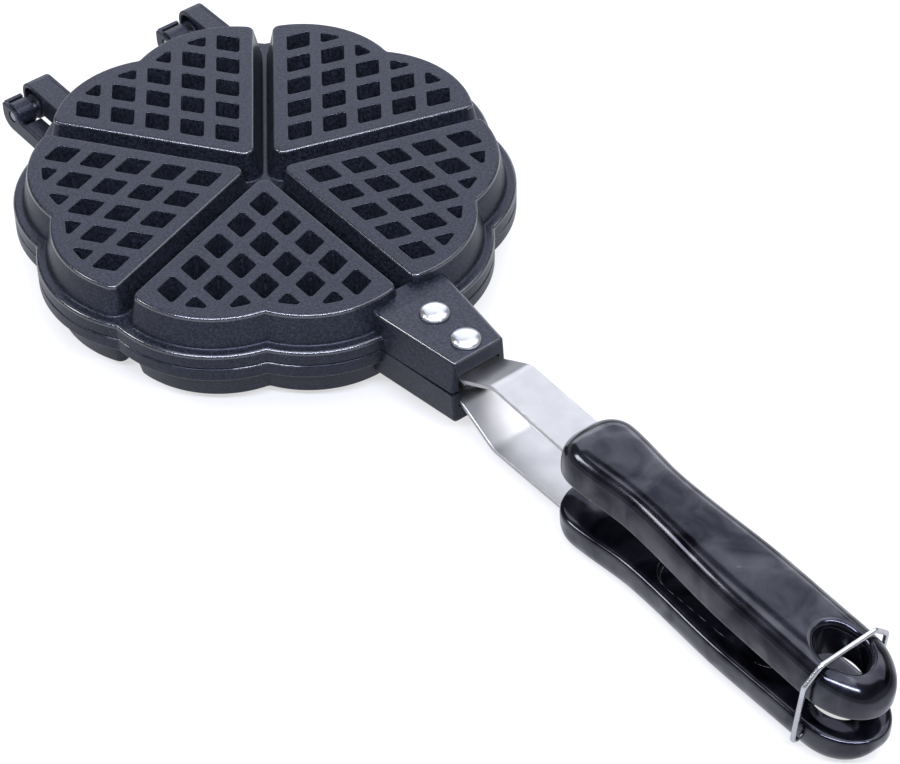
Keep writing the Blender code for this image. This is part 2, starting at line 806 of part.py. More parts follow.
def build_pan():
    cast = make_material("non_stick_cast_aluminium", (0.035, 0.037, 0.040), 0.45, 0.4)
    steel = make_material("satin_steel", (0.55, 0.55, 0.56), 0.35, 1)
    rivet_metal = make_material("polished_rivet", (0.75, 0.75, 0.75), 0.2, 1)
    phenolic = make_material("black_phenolic", (0.012, 0.013, 0.016), 0.18, 0)
    wire = make_material("bright_wire", (0.70, 0.70, 0.68), 0.25, 1)
    rivet = rivet_mesh()
    screw = screw_mesh()
    pin = pin_mesh()
    root = add_empty("pan", None, Matrix.Identity(4))
    pin_axis = Matrix.Translation(Vector((-pin_reach, 0, 0)))
    lid = add_empty("lid", root, pin_axis)
    halves = {
        "upper": (lid, pin_axis.inverted()),
        "lower": (root, Matrix.Rotation(half_turn, 4, "X")),
    }
    pieces = []
    for half, (parent, frame) in halves.items():
        pieces.append(add_piece(half + "_plate", plate_mesh(arm_heights[half]), cast, parent, frame))
        pieces.append(add_piece(half + "_strap", strap_mesh(half), steel, parent, frame))
        for end, reach in zip(("front", "rear"), rivet_reaches):
            place = frame @ Matrix.Translation(Vector((reach, 0, 0)))
            pieces.append(add_piece(f"{half}_rivet_{end}", rivet, rivet_metal, parent, place))
        in_grip = frame @ grip_frame(half)
        pieces.append(add_piece(half + "_grip", grip_mesh(half), phenolic, parent, in_grip))
        place = in_grip @ Matrix.Translation(Vector((screw_place, 0, 0)))
        pieces.append(add_piece(half + "_grip_screw", screw, steel, parent, place))
    for side, direction in (("left", 1), ("right", -1)):
        middle = Vector((-pin_reach, direction * (outer_arm_cheek + inner_arm_cheek) / 2, 0))
        pieces.append(add_piece("hinge_pin_" + side, pin, rivet_metal, root, Matrix.Translation(middle)))
    pivot = Matrix.Translation(Vector((bail_pivot_reach, 0, -bail_pivot_height)))
    pieces.append(add_piece("bail", bail_mesh(), wire, root, pivot @ Matrix.Rotation(bail_lean, 4, "Y")))
    stand_on_floor(root, pieces)


clear_scene()
build_pan()
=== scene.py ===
# %% [markdown]
# # A heart waffle pan
# The real object is two identical aluminium castings, hinged on two pins at the far side. Each carries a
# riveted steel strap with a moulded grip, and a wire bail on the lower grip locks the two grips together. The
# CAD frame already holds every solid. This lesson dresses it: each visible piece is drawn again as a smooth
# surface with rounded edges, worked out with numpy, and gets a finish built from shader nodes.

# %% The frame
import json
import math

import bmesh
import bpy
import numpy as np
from mathutils import Matrix, Vector
from mathutils.geometry import delaunay_2d_cdt


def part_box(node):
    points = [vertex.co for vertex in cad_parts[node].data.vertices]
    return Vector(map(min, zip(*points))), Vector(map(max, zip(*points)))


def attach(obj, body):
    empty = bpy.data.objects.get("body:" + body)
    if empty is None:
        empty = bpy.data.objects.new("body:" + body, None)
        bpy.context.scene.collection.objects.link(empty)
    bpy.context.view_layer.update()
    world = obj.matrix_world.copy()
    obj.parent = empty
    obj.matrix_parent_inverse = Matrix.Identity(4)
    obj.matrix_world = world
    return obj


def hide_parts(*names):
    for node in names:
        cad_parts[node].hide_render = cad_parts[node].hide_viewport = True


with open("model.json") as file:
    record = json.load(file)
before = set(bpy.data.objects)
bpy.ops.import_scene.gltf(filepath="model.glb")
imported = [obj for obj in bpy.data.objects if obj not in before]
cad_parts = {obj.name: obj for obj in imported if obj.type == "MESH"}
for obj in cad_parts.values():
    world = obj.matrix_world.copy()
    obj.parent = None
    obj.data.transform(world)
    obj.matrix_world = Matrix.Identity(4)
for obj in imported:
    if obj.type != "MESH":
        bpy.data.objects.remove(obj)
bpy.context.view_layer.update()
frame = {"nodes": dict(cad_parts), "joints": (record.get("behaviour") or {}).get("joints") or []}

MM = 0.001

# %% [markdown]
# ## One half, drawn once
# Both castings come out of one mould, so everything is drawn for the upper half, in millimetres, with the
# joint face at zero height and the pan's middle at zero. The lower half is the same drawing turned half a
# turn about X. The place of that drawing in the frame comes from the CAD solids' own boxes.

# %% Places taken from the frame
PIN_REACH = 100.8
ARM_TIP = 6.6
PLATEAU = 17.9
upper_low, upper_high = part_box("upper_plate")
ORIGIN = np.array([upper_low.x / MM + PIN_REACH + ARM_TIP, 0.0, upper_high.z / MM - PLATEAU])
BODIES = {"upper": "lid", "lower": "base"}


def placed(points, half):
    """The drawing's points in the frame, in metres. The lower half is turned by reversing its Y and Z."""
    turn = np.array([1, 1, 1]) if half == "upper" else np.array([1, -1, -1])
    return (points * turn + ORIGIN) * MM


print("origin of the drawing, mm", ORIGIN.round(3))

# %% [markdown]
# ## Surfaces as grids
# A patch is an array of points with arrays of faces. Most patches are a profile carried along a closed loop:
# row i is the loop at one place of the profile, and four neighbours make a face. Such a grid keeps long
# smooth rows, so its shading is clean, which a Boolean of solids never gives.


# %% Patches
INSIDE_LOOPS = 1  # output type of the triangulation: triangles inside the loops only
CDT_TOLERANCE = 1e-5


def grid(points):
    """Faces of a grid of rows and columns: each takes a point, its neighbour in the row and the two in the
    next row. The last point of a row has the first one as its neighbour."""
    rows, columns = points.shape[:2]
    index = np.arange(rows * columns).reshape(rows, columns)
    index = np.concatenate([index, index[:, :1]], axis=1)
    quads = np.stack([index[:-1, :-1], index[:-1, 1:], index[1:, 1:], index[1:, :-1]], axis=-1)
    return points.reshape(-1, 3), [quads.reshape(-1, 4)]


def many_grids(points):
    """The same for a stack of equal grids: the faces of the first, moved on by whole grids."""
    count, rows, columns = points.shape[:3]
    quads = grid(points[0])[1][0]
    steps = np.arange(count)[:, None, None] * rows * columns
    return points.reshape(-1, 3), [(quads[None] + steps).reshape(-1, 4)]


def caps(loops):
    """One flat face for each loop of a stack."""
    count, columns = loops.shape[:2]
    return loops.reshape(-1, 3), [np.arange(count * columns).reshape(count, columns)]


def capped(points):
    """A closed grid whose first and last rows get a flat face each."""
    return [grid(points), caps(points[[0, -1]])]


def lifted(loop, height):
    """A flat loop of X and Y as points at one height."""
    return np.concatenate([loop, np.full((*loop.shape[:-1], 1), float(height))], axis=-1)


def flat(outer, holes, height):
    """A flat face with holes. A constrained Delaunay triangulation keeps every loop's own points, so the face
    meets its neighbours exactly, and triangles that a hole claims are left out."""
    loops = [outer, *holes]
    points = np.concatenate(loops)
    ends = np.cumsum([0] + [len(loop) for loop in loops])
    faces = [list(range(start, end)) for start, end in zip(ends, ends[1:])]
    found = delaunay_2d_cdt([Vector(point) for point in points], [], faces, INSIDE_LOOPS, CDT_TOLERANCE)
    kept = np.array([face for face, origin in zip(found[2], found[5]) if origin == [0]])
    corners = np.array([tuple(point) for point in found[0]])
    return lifted(corners, height), [kept]


def bent(corners, radii, steps=4):
    """A path with its inner corners rounded. Each corner becomes an arc that touches both of its sides: the
    arc's middle lies on the corner's bisector, at the radius over the sine of half the angle."""
    corners = [np.array(corner, float) for corner in corners]
    path = [corners[0]]
    for before, corner, after, radius in zip(corners, corners[1:], corners[2:], radii):
        back = (before - corner) / np.linalg.norm(before - corner)
        ahead = (after - corner) / np.linalg.norm(after - corner)
        half = math.acos(np.clip(back @ ahead, -1, 1)) / 2
        bisector = (back + ahead) / np.linalg.norm(back + ahead)
        middle = corner + bisector * radius / math.sin(half)
        first = corner + back * radius / math.tan(half) - middle
        last = corner + ahead * radius / math.tan(half) - middle
        start = math.atan2(first[1], first[0])
        sweep = (math.atan2(last[1], last[0]) - start + math.pi) % (2 * math.pi) - math.pi
        turns = start + sweep * np.linspace(0, 1, steps + 1)
        path.extend(middle + radius * np.stack([np.cos(turns), np.sin(turns)], axis=-1))
    return np.array([*path, corners[-1]])


def arc(centre, radius, start, end, steps):
    turns = np.linspace(start, end, steps + 1)
    return np.array(centre) + radius * np.stack([np.cos(turns), np.sin(turns)], axis=-1)


def turned(loop, angle):
    """A flat loop turned about the pan's middle."""
    cos, sin = math.cos(angle), math.sin(angle)
    return loop @ np.array([[cos, sin], [-sin, cos]])


def gathered(patches):
    """Several patches as one, with their face numbers moved on."""
    points, faces, count = [], [], 0
    for part, blocks in patches:
        points.append(part)
        faces.extend(block + count for block in blocks)
        count += len(part)
    return np.concatenate(points), faces


def swept(path, section):
    """A section carried along a flat path: its second measure is laid off along the path's normal, a quarter
    turn from its direction, and its first stands across the path's plane. Gives both measures in the plane
    and that one."""
    ahead = np.gradient(path, axis=0)
    ahead /= np.linalg.norm(ahead, axis=1, keepdims=True)
    normal = np.stack([-ahead[:, 1], ahead[:, 0]], axis=-1)
    rows = path[:, None] + normal[:, None] * section[None, :, 1:]
    return rows[..., 0], rows[..., 1], np.broadcast_to(section[:, 0], rows.shape[:2])


print("patch tools ready")

# %% [markdown]
# ## From patches to a piece
# A finished piece is one mesh object at the origin. Points that two patches share are merged, which closes
# its surface, and its faces are turned outwards. Smooth shading runs over soft bends, and an edge sharper
# than 38 degrees stays sharp. Normals are weighted by area, so that a large flat face stays flat up to its
# rounded edge.

# %% Making a piece
SHARP = math.radians(38)
MERGE = 0.002 * MM


def make_piece(name, patches, half, material, node, body=None):
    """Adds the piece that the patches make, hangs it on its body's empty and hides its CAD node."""
    points, faces = gathered(patches)
    mesh = bpy.data.meshes.new(name)
    listed = [face for block in faces for face in block.tolist()]
    mesh.from_pydata(placed(points, half), [], listed)
    shape = bmesh.new()
    shape.from_mesh(mesh)
    bmesh.ops.remove_doubles(shape, verts=shape.verts, dist=MERGE)
    bmesh.ops.recalc_face_normals(shape, faces=shape.faces)
    open_edges = sum(not edge.is_manifold for edge in shape.edges)
    shape.to_mesh(mesh)
    shape.free()
    mesh.shade_smooth()
    mesh.set_sharp_from_angle(angle=SHARP)
    mesh.materials.append(material)
    piece = bpy.data.objects.new(name, mesh)
    bpy.context.scene.collection.objects.link(piece)
    weighted = piece.modifiers.new("weighted_normals", "WEIGHTED_NORMAL")
    weighted.keep_sharp = True
    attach(piece, body or BODIES[half])
    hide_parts(node)
    triangles = sum(len(face.vertices) - 2 for face in mesh.polygons)
    print(f"{name}: {triangles} triangles, {open_edges} open edges")


# %% [markdown]
# ## Shader helpers
# Colours are written as sRGB hex values, as a paint chart gives them. Shaders work in linear light, so one
# function converts them. Another adds a node with its settings and links, which keeps each finish readable as
# a list.


# %% Colour and node helpers
def colour(hex_code):
    """Linear colour and alpha of an sRGB hex value: the low end is a line, the rest a power of 2.4."""
    parts = np.array([int(hex_code[i : i + 2], 16) for i in (1, 3, 5)]) / 255
    linear = np.where(parts <= 0.04045, parts / 12.92, ((parts + 0.055) / 1.055) ** 2.4)
    return (*linear.tolist(), 1.0)


def feed(tree, node, inputs):
    """Sets a node's sockets by name or number to a value, an output, or a node's first output in use."""
    for key, value in inputs.items():
        if isinstance(value, bpy.types.Node):
            value = next(output for output in value.outputs if output.enabled)
        if isinstance(value, bpy.types.NodeSocket):
            tree.links.new(value, node.inputs[key])
        else:
            node.inputs[key].default_value = value


def add(tree, kind, inputs=None, stops=(), **settings):
    """Adds a node with its settings and what feeds it. A colour ramp takes two (place, hex colour) stops."""
    made = tree.nodes.new(kind)
    for key, value in settings.items():
        setattr(made, key, value)
    for element, (place, shade) in zip(made.color_ramp.elements if stops else (), stops):
        element.position, element.color = place, colour(shade)
    feed(tree, made, inputs or {})
    return made


def new_material(name):
    """A material with its node tree, its shader and its object coordinates."""
    made = bpy.data.materials.new(name)
    made.use_nodes = True
    tree = made.node_tree
    return made, tree, tree.nodes["Principled BSDF"], add(tree, "ShaderNodeTexCoord").outputs["Object"]


def per(size_mm):
    """A texture's scale for a grain of that size, on coordinates in metres."""
    return 1 / (size_mm * MM)


# %% [markdown]
# ## Non-stick coated cast aluminium
# The castings are sprayed with a dark grey fluoropolymer coat and baked. It is a dielectric, so it isn't
# metallic: dark in itself, with a soft sheen. The spray leaves a fine pebble of about 0.3 mm, drawn here at
# 0.9 mm because a finer one is lost in the render, and mica flakes, drawn 0.8 mm apart, that show as paler
# specks. Fluoropolymers have a low refractive index, about 1.36, matched down a little to the photo. The
# rounded rims are buffed by use, so they carry a thin gloss that glints, and the rest has just a trace of it.

# %% The coat
# Lowest and highest height over the joint face, least and greatest distance from the middle, in mm: the
# hearts' rims, the flange's rim, the lower flange's lip at the joint, and the bracket's top edges.
RIMS = [(16.6, 17.74, 0, 90), (4.7, 5.86, 60, 93), (-0.7, -0.2, 60, 89), (13.2, 13.8, 89, 130)]
RIM_SOFTNESS = 0.12
CLOUD_MM, PEBBLE_MM, FLAKE_MM = 14, 0.9, 0.8
PEBBLE_HEIGHT = 0.14 * MM
COAT_SHEEN, RIM_SHEEN = 0.09, 1.0


def between(tree, source, low, high):
    """One where a length lies between two sizes in millimetres and nought elsewhere, over soft steps."""
    soft = RIM_SOFTNESS
    rise = {"Value": source, "From Min": (low - soft) * MM, "From Max": (low + soft) * MM}
    fall = {"Value": source, "From Min": (high + soft) * MM, "From Max": (high - soft) * MM}
    steps = [add(tree, "ShaderNodeMapRange", settings) for settings in (rise, fall)]
    return add(tree, "ShaderNodeMath", {0: steps[0], 1: steps[1]}, operation="MULTIPLY")


def rims(tree, place):
    """One on the rims that glint, found by height over the joint face and distance from the middle."""
    local = add(tree, "ShaderNodeVectorMath", {0: place, 1: tuple(ORIGIN * MM)}, operation="SUBTRACT")
    split = add(tree, "ShaderNodeSeparateXYZ", {"Vector": local})
    level = add(tree, "ShaderNodeCombineXYZ", {"X": split.outputs["X"], "Y": split.outputs["Y"]})
    reach = add(tree, "ShaderNodeVectorMath", {0: level}, operation="LENGTH")
    found = 0.0
    for low, high, nearest, farthest in RIMS:
        bands = {0: between(tree, split.outputs["Z"], low, high), 1: between(tree, reach, nearest, farthest)}
        band = add(tree, "ShaderNodeMath", bands, operation="MULTIPLY")
        found = add(tree, "ShaderNodeMath", {0: found, 1: band}, operation="MAXIMUM")
    return found


def coated_aluminium():
    made, tree, shader, place = new_material("non_stick_coated_cast_aluminium")
    cloud = add(tree, "ShaderNodeTexNoise", {"Vector": place, "Scale": per(CLOUD_MM), "Detail": 4})
    pebbles = {"Vector": place, "Scale": per(PEBBLE_MM), "Detail": 3, "Roughness": 0.6}
    grain = add(tree, "ShaderNodeTexNoise", pebbles)
    flakes = add(tree, "ShaderNodeTexVoronoi", {"Vector": place, "Scale": per(FLAKE_MM)})
    base = add(tree, "ShaderNodeValToRGB", {"Fac": cloud}, [(0.3, "#08090c"), (0.7, "#0e0f14")])
    crests = add(tree, "ShaderNodeValToRGB", {"Fac": grain}, [(0.4, "#000000"), (0.66, "#20232c")])
    bright = add(tree, "ShaderNodeValToRGB", {"Fac": flakes}, [(0.0, "#4c4e5a"), (0.4, "#000000")])
    summed = {"data_type": "RGBA", "blend_type": "ADD"}
    speckled = add(tree, "ShaderNodeMix", {"Factor": 0.18, 6: base, 7: bright}, **summed)
    pebbled = add(tree, "ShaderNodeMix", {"Factor": 1.0, 6: speckled, 7: crests}, **summed)
    rough = add(tree, "ShaderNodeMapRange", {"Value": grain, "To Min": 0.26, "To Max": 0.42})
    buffed = add(
        tree, "ShaderNodeMapRange", {"Value": rims(tree, place), "To Min": COAT_SHEEN, "To Max": RIM_SHEEN}
    )
    looks = {"Base Color": pebbled, "Roughness": rough, "IOR": 1.33, "Specular Tint": colour("#d2d7ff")}
    looks |= {"Coat Weight": buffed, "Coat Roughness": 0.2, "Coat IOR": 1.9}
    bumps = {"Strength": 0.8, "Distance": PEBBLE_HEIGHT, "Height": grain}
    looks["Normal"] = add(tree, "ShaderNodeBump", bumps)
    feed(tree, shader, looks)
    return made


COAT = coated_aluminium()
print(COAT.name)

# %% [markdown]
# ## The hearts' outline
# Seen from above a heart is two round lobes with a notch between them, two straight sides along the gaps and
# a round apex at the middle. The same outline, drawn in or out, serves the wall's foot, its rim and the
# cavity, so one function gives it for any inset. Each arc keeps its middle and changes its radius, as a true
# offset does.

# %% Heart loops
HEARTS = 5
HALF_ANGLE = math.pi / HEARTS
GAP_HALF = 3.7
LOBE_RADIUS = 38.9
LOBE_CENTRE = 46.3 * np.array([math.cos(math.radians(20)), math.sin(math.radians(20))])
LEAST_RADIUS = 0.25
HEART_ANGLES = [HALF_ANGLE * (2 * i + 1) for i in range(HEARTS)]


def mirrored(upper):
    """A loop from its upper half, which starts and ends on the X axis."""
    lower = upper[-2:0:-1] * np.array([1, -1])
    return np.concatenate([upper, lower])


def heading(vector):
    return math.atan2(vector[1], vector[0])


def heart_loop(inset, apex=3.4, corner=3.0, notch=2.2):
    """A heart along +X drawn in by inset: notch fillet, lobe, corner, straight side and apex, then their
    mirror image. The fillet's middle lies on the axis, at the lobe's radius plus its own from the lobe's
    middle. The corner touches the lobe from inside and the side at its own radius."""
    radius = LOBE_RADIUS - inset
    notch = max(notch + inset, LEAST_RADIUS)
    corner = max(corner - inset, LEAST_RADIUS)
    apex = max(apex - inset, LEAST_RADIUS)
    side = GAP_HALF + inset
    notch_middle = np.array([LOBE_CENTRE[0] + math.sqrt((radius + notch) ** 2 - LOBE_CENTRE[1] ** 2), 0.0])
    meet = heading(notch_middle - LOBE_CENTRE)
    along = np.array([math.cos(HALF_ANGLE), math.sin(HALF_ANGLE)])
    across = np.array([along[1], -along[0]])
    start = across * (side + corner) - LOBE_CENTRE
    reach = -along @ start + math.sqrt((along @ start) ** 2 - start @ start + (radius - corner) ** 2)
    corner_middle = across * (side + corner) + along * reach
    apex_middle = np.array([(side + apex) / math.sin(HALF_ANGLE), 0.0])
    turn_end = heading(corner_middle - LOBE_CENTRE)
    side_turn = heading(-across)
    upper = [
        arc(notch_middle, notch, math.pi, meet + math.pi, 4),
        arc(LOBE_CENTRE, radius, meet, turn_end, 36)[1:],
        arc(corner_middle, corner, turn_end, side_turn, 7)[1:],
        arc(apex_middle, apex, side_turn, math.pi, 6),
    ]
    return mirrored(np.concatenate(upper))


def carried(profile, loop_at):
    """A profile of (inset, height) pairs carried along a loop: one row of the grid for each pair."""
    return np.stack([lifted(loop_at(inset), height) for inset, height in profile])


def five(rows):
    """A grid repeated round the pan's middle, once for each heart."""
    return np.stack(
        [np.concatenate([turned(rows[..., :2], angle), rows[..., 2:]], axis=-1) for angle in HEART_ANGLES]
    )


print("points in a heart's loop:", len(heart_loop(0)))

# %% [markdown]
# ## The flange's outline
# Round the hearts runs a flange of ten lobes, two to a heart. It is the same kind of offset curve, with a
# soft notch on each heart's axis and at each gap.

# %% Flange loop
LEDGE = 6.3


def flange_loop(inset, notch=2.6):
    """Ten lobes drawn in by inset. Half a heart's share runs from the notch on its axis, round a lobe, to the
    notch at the gap, and the rest are its mirror images and turns."""
    radius = LOBE_RADIUS + LEDGE - inset
    fillet = max(notch + inset, LEAST_RADIUS)
    on_axis = np.array([LOBE_CENTRE[0] + math.sqrt((radius + fillet) ** 2 - LOBE_CENTRE[1] ** 2), 0.0])
    gap_way = np.array([math.cos(HALF_ANGLE), math.sin(HALF_ANGLE)])
    along = LOBE_CENTRE @ gap_way
    off = abs(LOBE_CENTRE @ np.array([gap_way[1], -gap_way[0]]))
    at_gap = gap_way * (along + math.sqrt((radius + fillet) ** 2 - off**2))
    first, last = heading(on_axis - LOBE_CENTRE), heading(at_gap - LOBE_CENTRE)
    upper = np.concatenate(
        [
            arc(on_axis, fillet, math.pi, first + math.pi, 4),
            arc(LOBE_CENTRE, radius, first, last, 30)[1:],
            arc(at_gap, fillet, last + math.pi, HALF_ANGLE + math.pi, 4)[1:],
        ]
    )
    sector = np.concatenate([upper[:0:-1] * np.array([1, -1]), upper[:-1]])
    return np.concatenate([turned(sector, angle) for angle in HEART_ANGLES])


print("points in the flange's loop:", len(flange_loop(0)))

# %% [markdown]
# ## Pockets and studs
# The waffle's dimples come from studs inside each cavity. Outside, the casting is hollow behind every stud,
# which gives the grid of rhombic pockets. A pocket's sides run along the heart's two straight sides. Four
# pockets at the rim of each heart are cut to triangles. A convex polygon is drawn in by moving each corner
# along the sum of its two inward normals, and its corners are then rounded.

# %% Pocket outlines
PITCH = 13.5
FIRST_REACH = 22.55
ROWS = 5
POCKET_WIDTH = 8.6
EDGE_MARGIN = 5.3
STUD_MARGIN = 1.6
SHORTEST_SIDE = 1.2


def rhombus(width):
    """Corners about the pocket's own middle, counter-clockwise."""
    side = width / math.sin(2 * HALF_ANGLE)
    long_half, short_half = side * math.cos(HALF_ANGLE), side * math.sin(HALF_ANGLE)
    return np.array([[long_half, 0], [0, short_half], [-long_half, 0], [0, -short_half]])


def cut_by(corners, origin, way, reach):
    """The part of a convex polygon that lies less than reach from the origin along a direction."""
    left = reach - (corners - origin) @ way
    kept = []
    for i, corner in enumerate(corners):
        j = (i + 1) % len(corners)
        if left[i] > 0:
            kept.append(corner)
        if left[i] * left[j] < 0:
            kept.append(corner + (corners[j] - corner) * left[i] / (left[i] - left[j]))
    kept = np.array(kept)
    long_enough = np.linalg.norm(np.roll(kept, -1, axis=0) - kept, axis=1) > SHORTEST_SIDE
    return kept[long_enough]


def pocket_corners(width, margin):
    """Corners of a heart's pockets: whole ones, and those that the heart's rim cuts."""
    whole, cut = [], []
    for row in range(ROWS + 1):
        for column in range(ROWS + 1 - row):
            middle = np.array([FIRST_REACH, 0.0])
            middle += PITCH * (row + column) * np.array([math.cos(HALF_ANGLE), 0.0])
            middle += PITCH * (row - column) * np.array([0.0, math.sin(HALF_ANGLE)])
            on_edge = row + column == ROWS
            if on_edge and ROWS in (row, column):
                continue
            corners = middle + rhombus(width)
            if not on_edge:
                whole.append(corners)
                continue
            lobe = LOBE_CENTRE * np.array([1, math.copysign(1, middle[1])])
            way = (middle - lobe) / np.linalg.norm(middle - lobe)
            cut.append(cut_by(corners, lobe, way, LOBE_RADIUS - margin))
    return whole, cut


def drawn_in(corners, inset):
    """Each corner moves by the inset times the sum of its sides' normals over one plus their product."""
    sides = np.roll(corners, -1, axis=0) - corners
    sides /= np.linalg.norm(sides, axis=1, keepdims=True)
    inward = np.stack([-sides[:, 1], sides[:, 0]], axis=-1)
    before = np.roll(inward, 1, axis=0)
    share = 1 + np.sum(inward * before, axis=1, keepdims=True)
    return corners + inset * (inward + before) / share


def soft_polygon(corners, inset, radius, steps=4):
    """A polygon drawn in, with an arc at each corner from one side's outward normal to the next one's."""
    radius = max(radius - inset, 0.35)
    middles = drawn_in(corners, inset + radius)
    sides = np.roll(corners, -1, axis=0) - corners
    outward = np.arctan2(-sides[:, 0], sides[:, 1])
    before = np.roll(outward, 1)
    sweep = (outward - before) % (2 * math.pi)
    turns = before[:, None] + sweep[:, None] * np.linspace(0, 1, steps + 1)
    loop = middles[:, None] + radius * np.stack([np.cos(turns), np.sin(turns)], axis=-1)
    return loop.reshape(-1, 2)


whole_pockets, cut_pockets = pocket_corners(POCKET_WIDTH, EDGE_MARGIN)
print("pockets in a heart:", len(whole_pockets), "whole and", len(cut_pockets), "cut")

# %% [markdown]
# ## The casting
# Now the profiles. Each is a list of (inset, height) corners with a radius for each bend: the rim of the
# flange, the wall of a heart with a fillet at its foot and a soft rim, a pocket with draft, and on the inside
# a cavity and its studs. Between them lie flat faces with holes, and everything shares its loops. Only where
# the feet of the cut studs cross the foot of the cavity's wall do the surfaces overlap instead of meeting.

# %% Profiles of the casting
JOINT = 0.15
FLANGE = 6.0
SPREAD = 2.6
FOOT_MARGIN = 0.85
RIM_MARGIN = 1.8
FLANGE_MARGINS = 1.1, 1.7
FLANGE_BENDS, WALL_BENDS, CAVITY_BENDS = [0.7, 1.3], [0.9, 1.1], [1.4, 0.3]
POCKET_BENDS, STUD_BENDS = [0.32, 0.6], [0.5, 0.5]
DRAFT = math.tan(math.radians(9))
POCKET_DEPTH, CUT_DEPTH = 10.0, 6.5
ROOF = 14.9
TIP, CUT_TIP = 5.9, PLATEAU - CUT_DEPTH - 2.0
POCKET_CORNER, STUD_CORNER = 1.0, 1.6
STUD_WALL = 1.4
WALL_LEVEL = 3.0  # depth under the plateau at which a stud's wall is STUD_WALL thick
CAVITY_INSET = 3.2
CAVITY_SPREAD = 2.2

# Each profile starts and ends on the flat faces, a little way past its last bend.
outer_margin, inner_margin = FLANGE_MARGINS
mouth = CAVITY_INSET - CAVITY_SPREAD
flange_profile = bent(
    [(outer_margin, JOINT), (0, JOINT), (0, FLANGE), (inner_margin, FLANGE)], FLANGE_BENDS, 6
)
wall_profile = bent(
    [(-SPREAD - FOOT_MARGIN, FLANGE), (-SPREAD, FLANGE), (0, PLATEAU), (RIM_MARGIN, PLATEAU)], WALL_BENDS, 6
)
cavity_profile = bent(
    [(CAVITY_INSET + 1.5, ROOF), (CAVITY_INSET, ROOF), (mouth, JOINT), (mouth - 0.5, JOINT)], CAVITY_BENDS, 4
)


def pocket_profile(depth):
    foot, bottom = depth * DRAFT, PLATEAU - depth
    return bent([(-0.5, PLATEAU), (0, PLATEAU), (foot, bottom), (foot + 0.75, bottom)], POCKET_BENDS, 3)


def stud_profile(tip):
    foot = (ROOF - tip) * DRAFT
    return bent([(foot + 0.8, tip), (foot, tip), (0, ROOF), (-0.6, ROOF)], STUD_BENDS, 3)


def cavity_loop(inset):
    return heart_loop(inset, apex=4.4, corner=6.2, notch=1.0)


def posts(groups, profile_of, radius):
    """Grids of a profile carried along each polygon, the same in every heart, with the first and the last
    loops. A group is a list of polygons and the measure that gives their profile."""
    shapes = [(corners, profile_of(measure)) for polygons, measure in groups for corners in polygons]
    rows = [
        five(carried(profile, lambda inset: soft_polygon(corners, inset, radius)))
        for corners, profile in shapes
    ]
    return [many_grids(post) for post in rows], [post[:, 0] for post in rows], [post[:, -1] for post in rows]


pocket_groups = [(whole_pockets, POCKET_DEPTH), (cut_pockets, CUT_DEPTH)]
pocket_patches, pocket_rims, pocket_floors = posts(pocket_groups, pocket_profile, POCKET_CORNER)
stud_width = POCKET_WIDTH - 2 * WALL_LEVEL * DRAFT + 2 * STUD_WALL
stud_groups = zip(pocket_corners(stud_width, STUD_MARGIN), (TIP, CUT_TIP))
stud_patches, stud_tips, stud_feet = posts(stud_groups, stud_profile, STUD_CORNER)
print("pocket rings", len(pocket_rims), "stud rings", len(stud_feet))

# %% The casting's patches
walls = five(carried(wall_profile, heart_loop))
cavities = five(carried(cavity_profile, cavity_loop))
flange_rows = carried(flange_profile, flange_loop)
casting = [grid(flange_rows), many_grids(walls), many_grids(cavities)]
casting += pocket_patches + stud_patches
casting += [caps(end) for end in pocket_floors + stud_tips]
casting.append(flat(flange_rows[-1, :, :2], walls[:, 0, :, :2], FLANGE))
casting.append(flat(flange_rows[0, :, :2], cavities[:, -1, :, :2], JOINT))
for i in range(HEARTS):
    casting.append(flat(walls[i, -1, :, :2], [rim[i, :, :2] for rim in pocket_rims], PLATEAU))
    casting.append(flat(cavities[i, 0, :, :2], [foot[i, :, :2] for foot in stud_feet], ROOF))
print("points of one casting:", len(gathered(casting)[0]))

# %% [markdown]
# ## Slabs with soft edges
# The hinge arms are plates and the pins rods, all across the pan. A slab is an outline carried along Y, drawn
# in a little at both ends along a quarter circle, so that each of its edges catches the light.


# %% Slab tool
def slab(outline, ends, edge, holes=()):
    """An outline in X and Z from one Y to another, with edges rounded by a quarter circle: inset edge times
    one minus the sine, height edge times one minus the cosine. Holes go straight through."""
    low, high = sorted(ends)
    turns = np.linspace(0, math.pi / 2, 4)
    inset = edge * (1 - np.sin(turns))
    rise = edge * (1 - np.cos(turns))
    insets = np.concatenate([inset, inset[::-1]])
    heights = np.concatenate([low + rise, high - rise[::-1]])
    rows = np.stack([lifted(drawn_in(outline, i), h) for i, h in zip(insets, heights)])
    patches = [grid(rows), flat(rows[-1, :, :2], holes, high), flat(rows[0, :, :2], holes, low)]
    patches += [grid(np.stack([lifted(hole, low), lifted(hole, high)])) for hole in holes]
    points, faces = gathered(patches)
    return points[:, [0, 2, 1]], faces


def circle(centre, radius, steps=40):
    return arc(centre, radius, 0, 2 * math.pi, steps)[:-1]


def lathe(profile, steps=48):
    """A profile of (radius, height) turned about Z: one row of points for each place of the profile."""
    turns = np.linspace(0, 2 * math.pi, steps + 1)[:-1]
    radius, height = np.array(profile, float).T
    x, y = radius[:, None] * np.cos(turns), radius[:, None] * np.sin(turns)
    return np.stack([x, y, np.broadcast_to(height[:, None], x.shape)], axis=-1)


print("slab tool ready")

# %% [markdown]
# ## The bracket
# The bracket is a tapered block that grows out of the casting, hollow underneath for the strap. It is drawn
# as cross-sections along X. Each is one loop: up one side, over the top with soft shoulders, down the other
# side, and back through the channel, which has no depth until it starts.

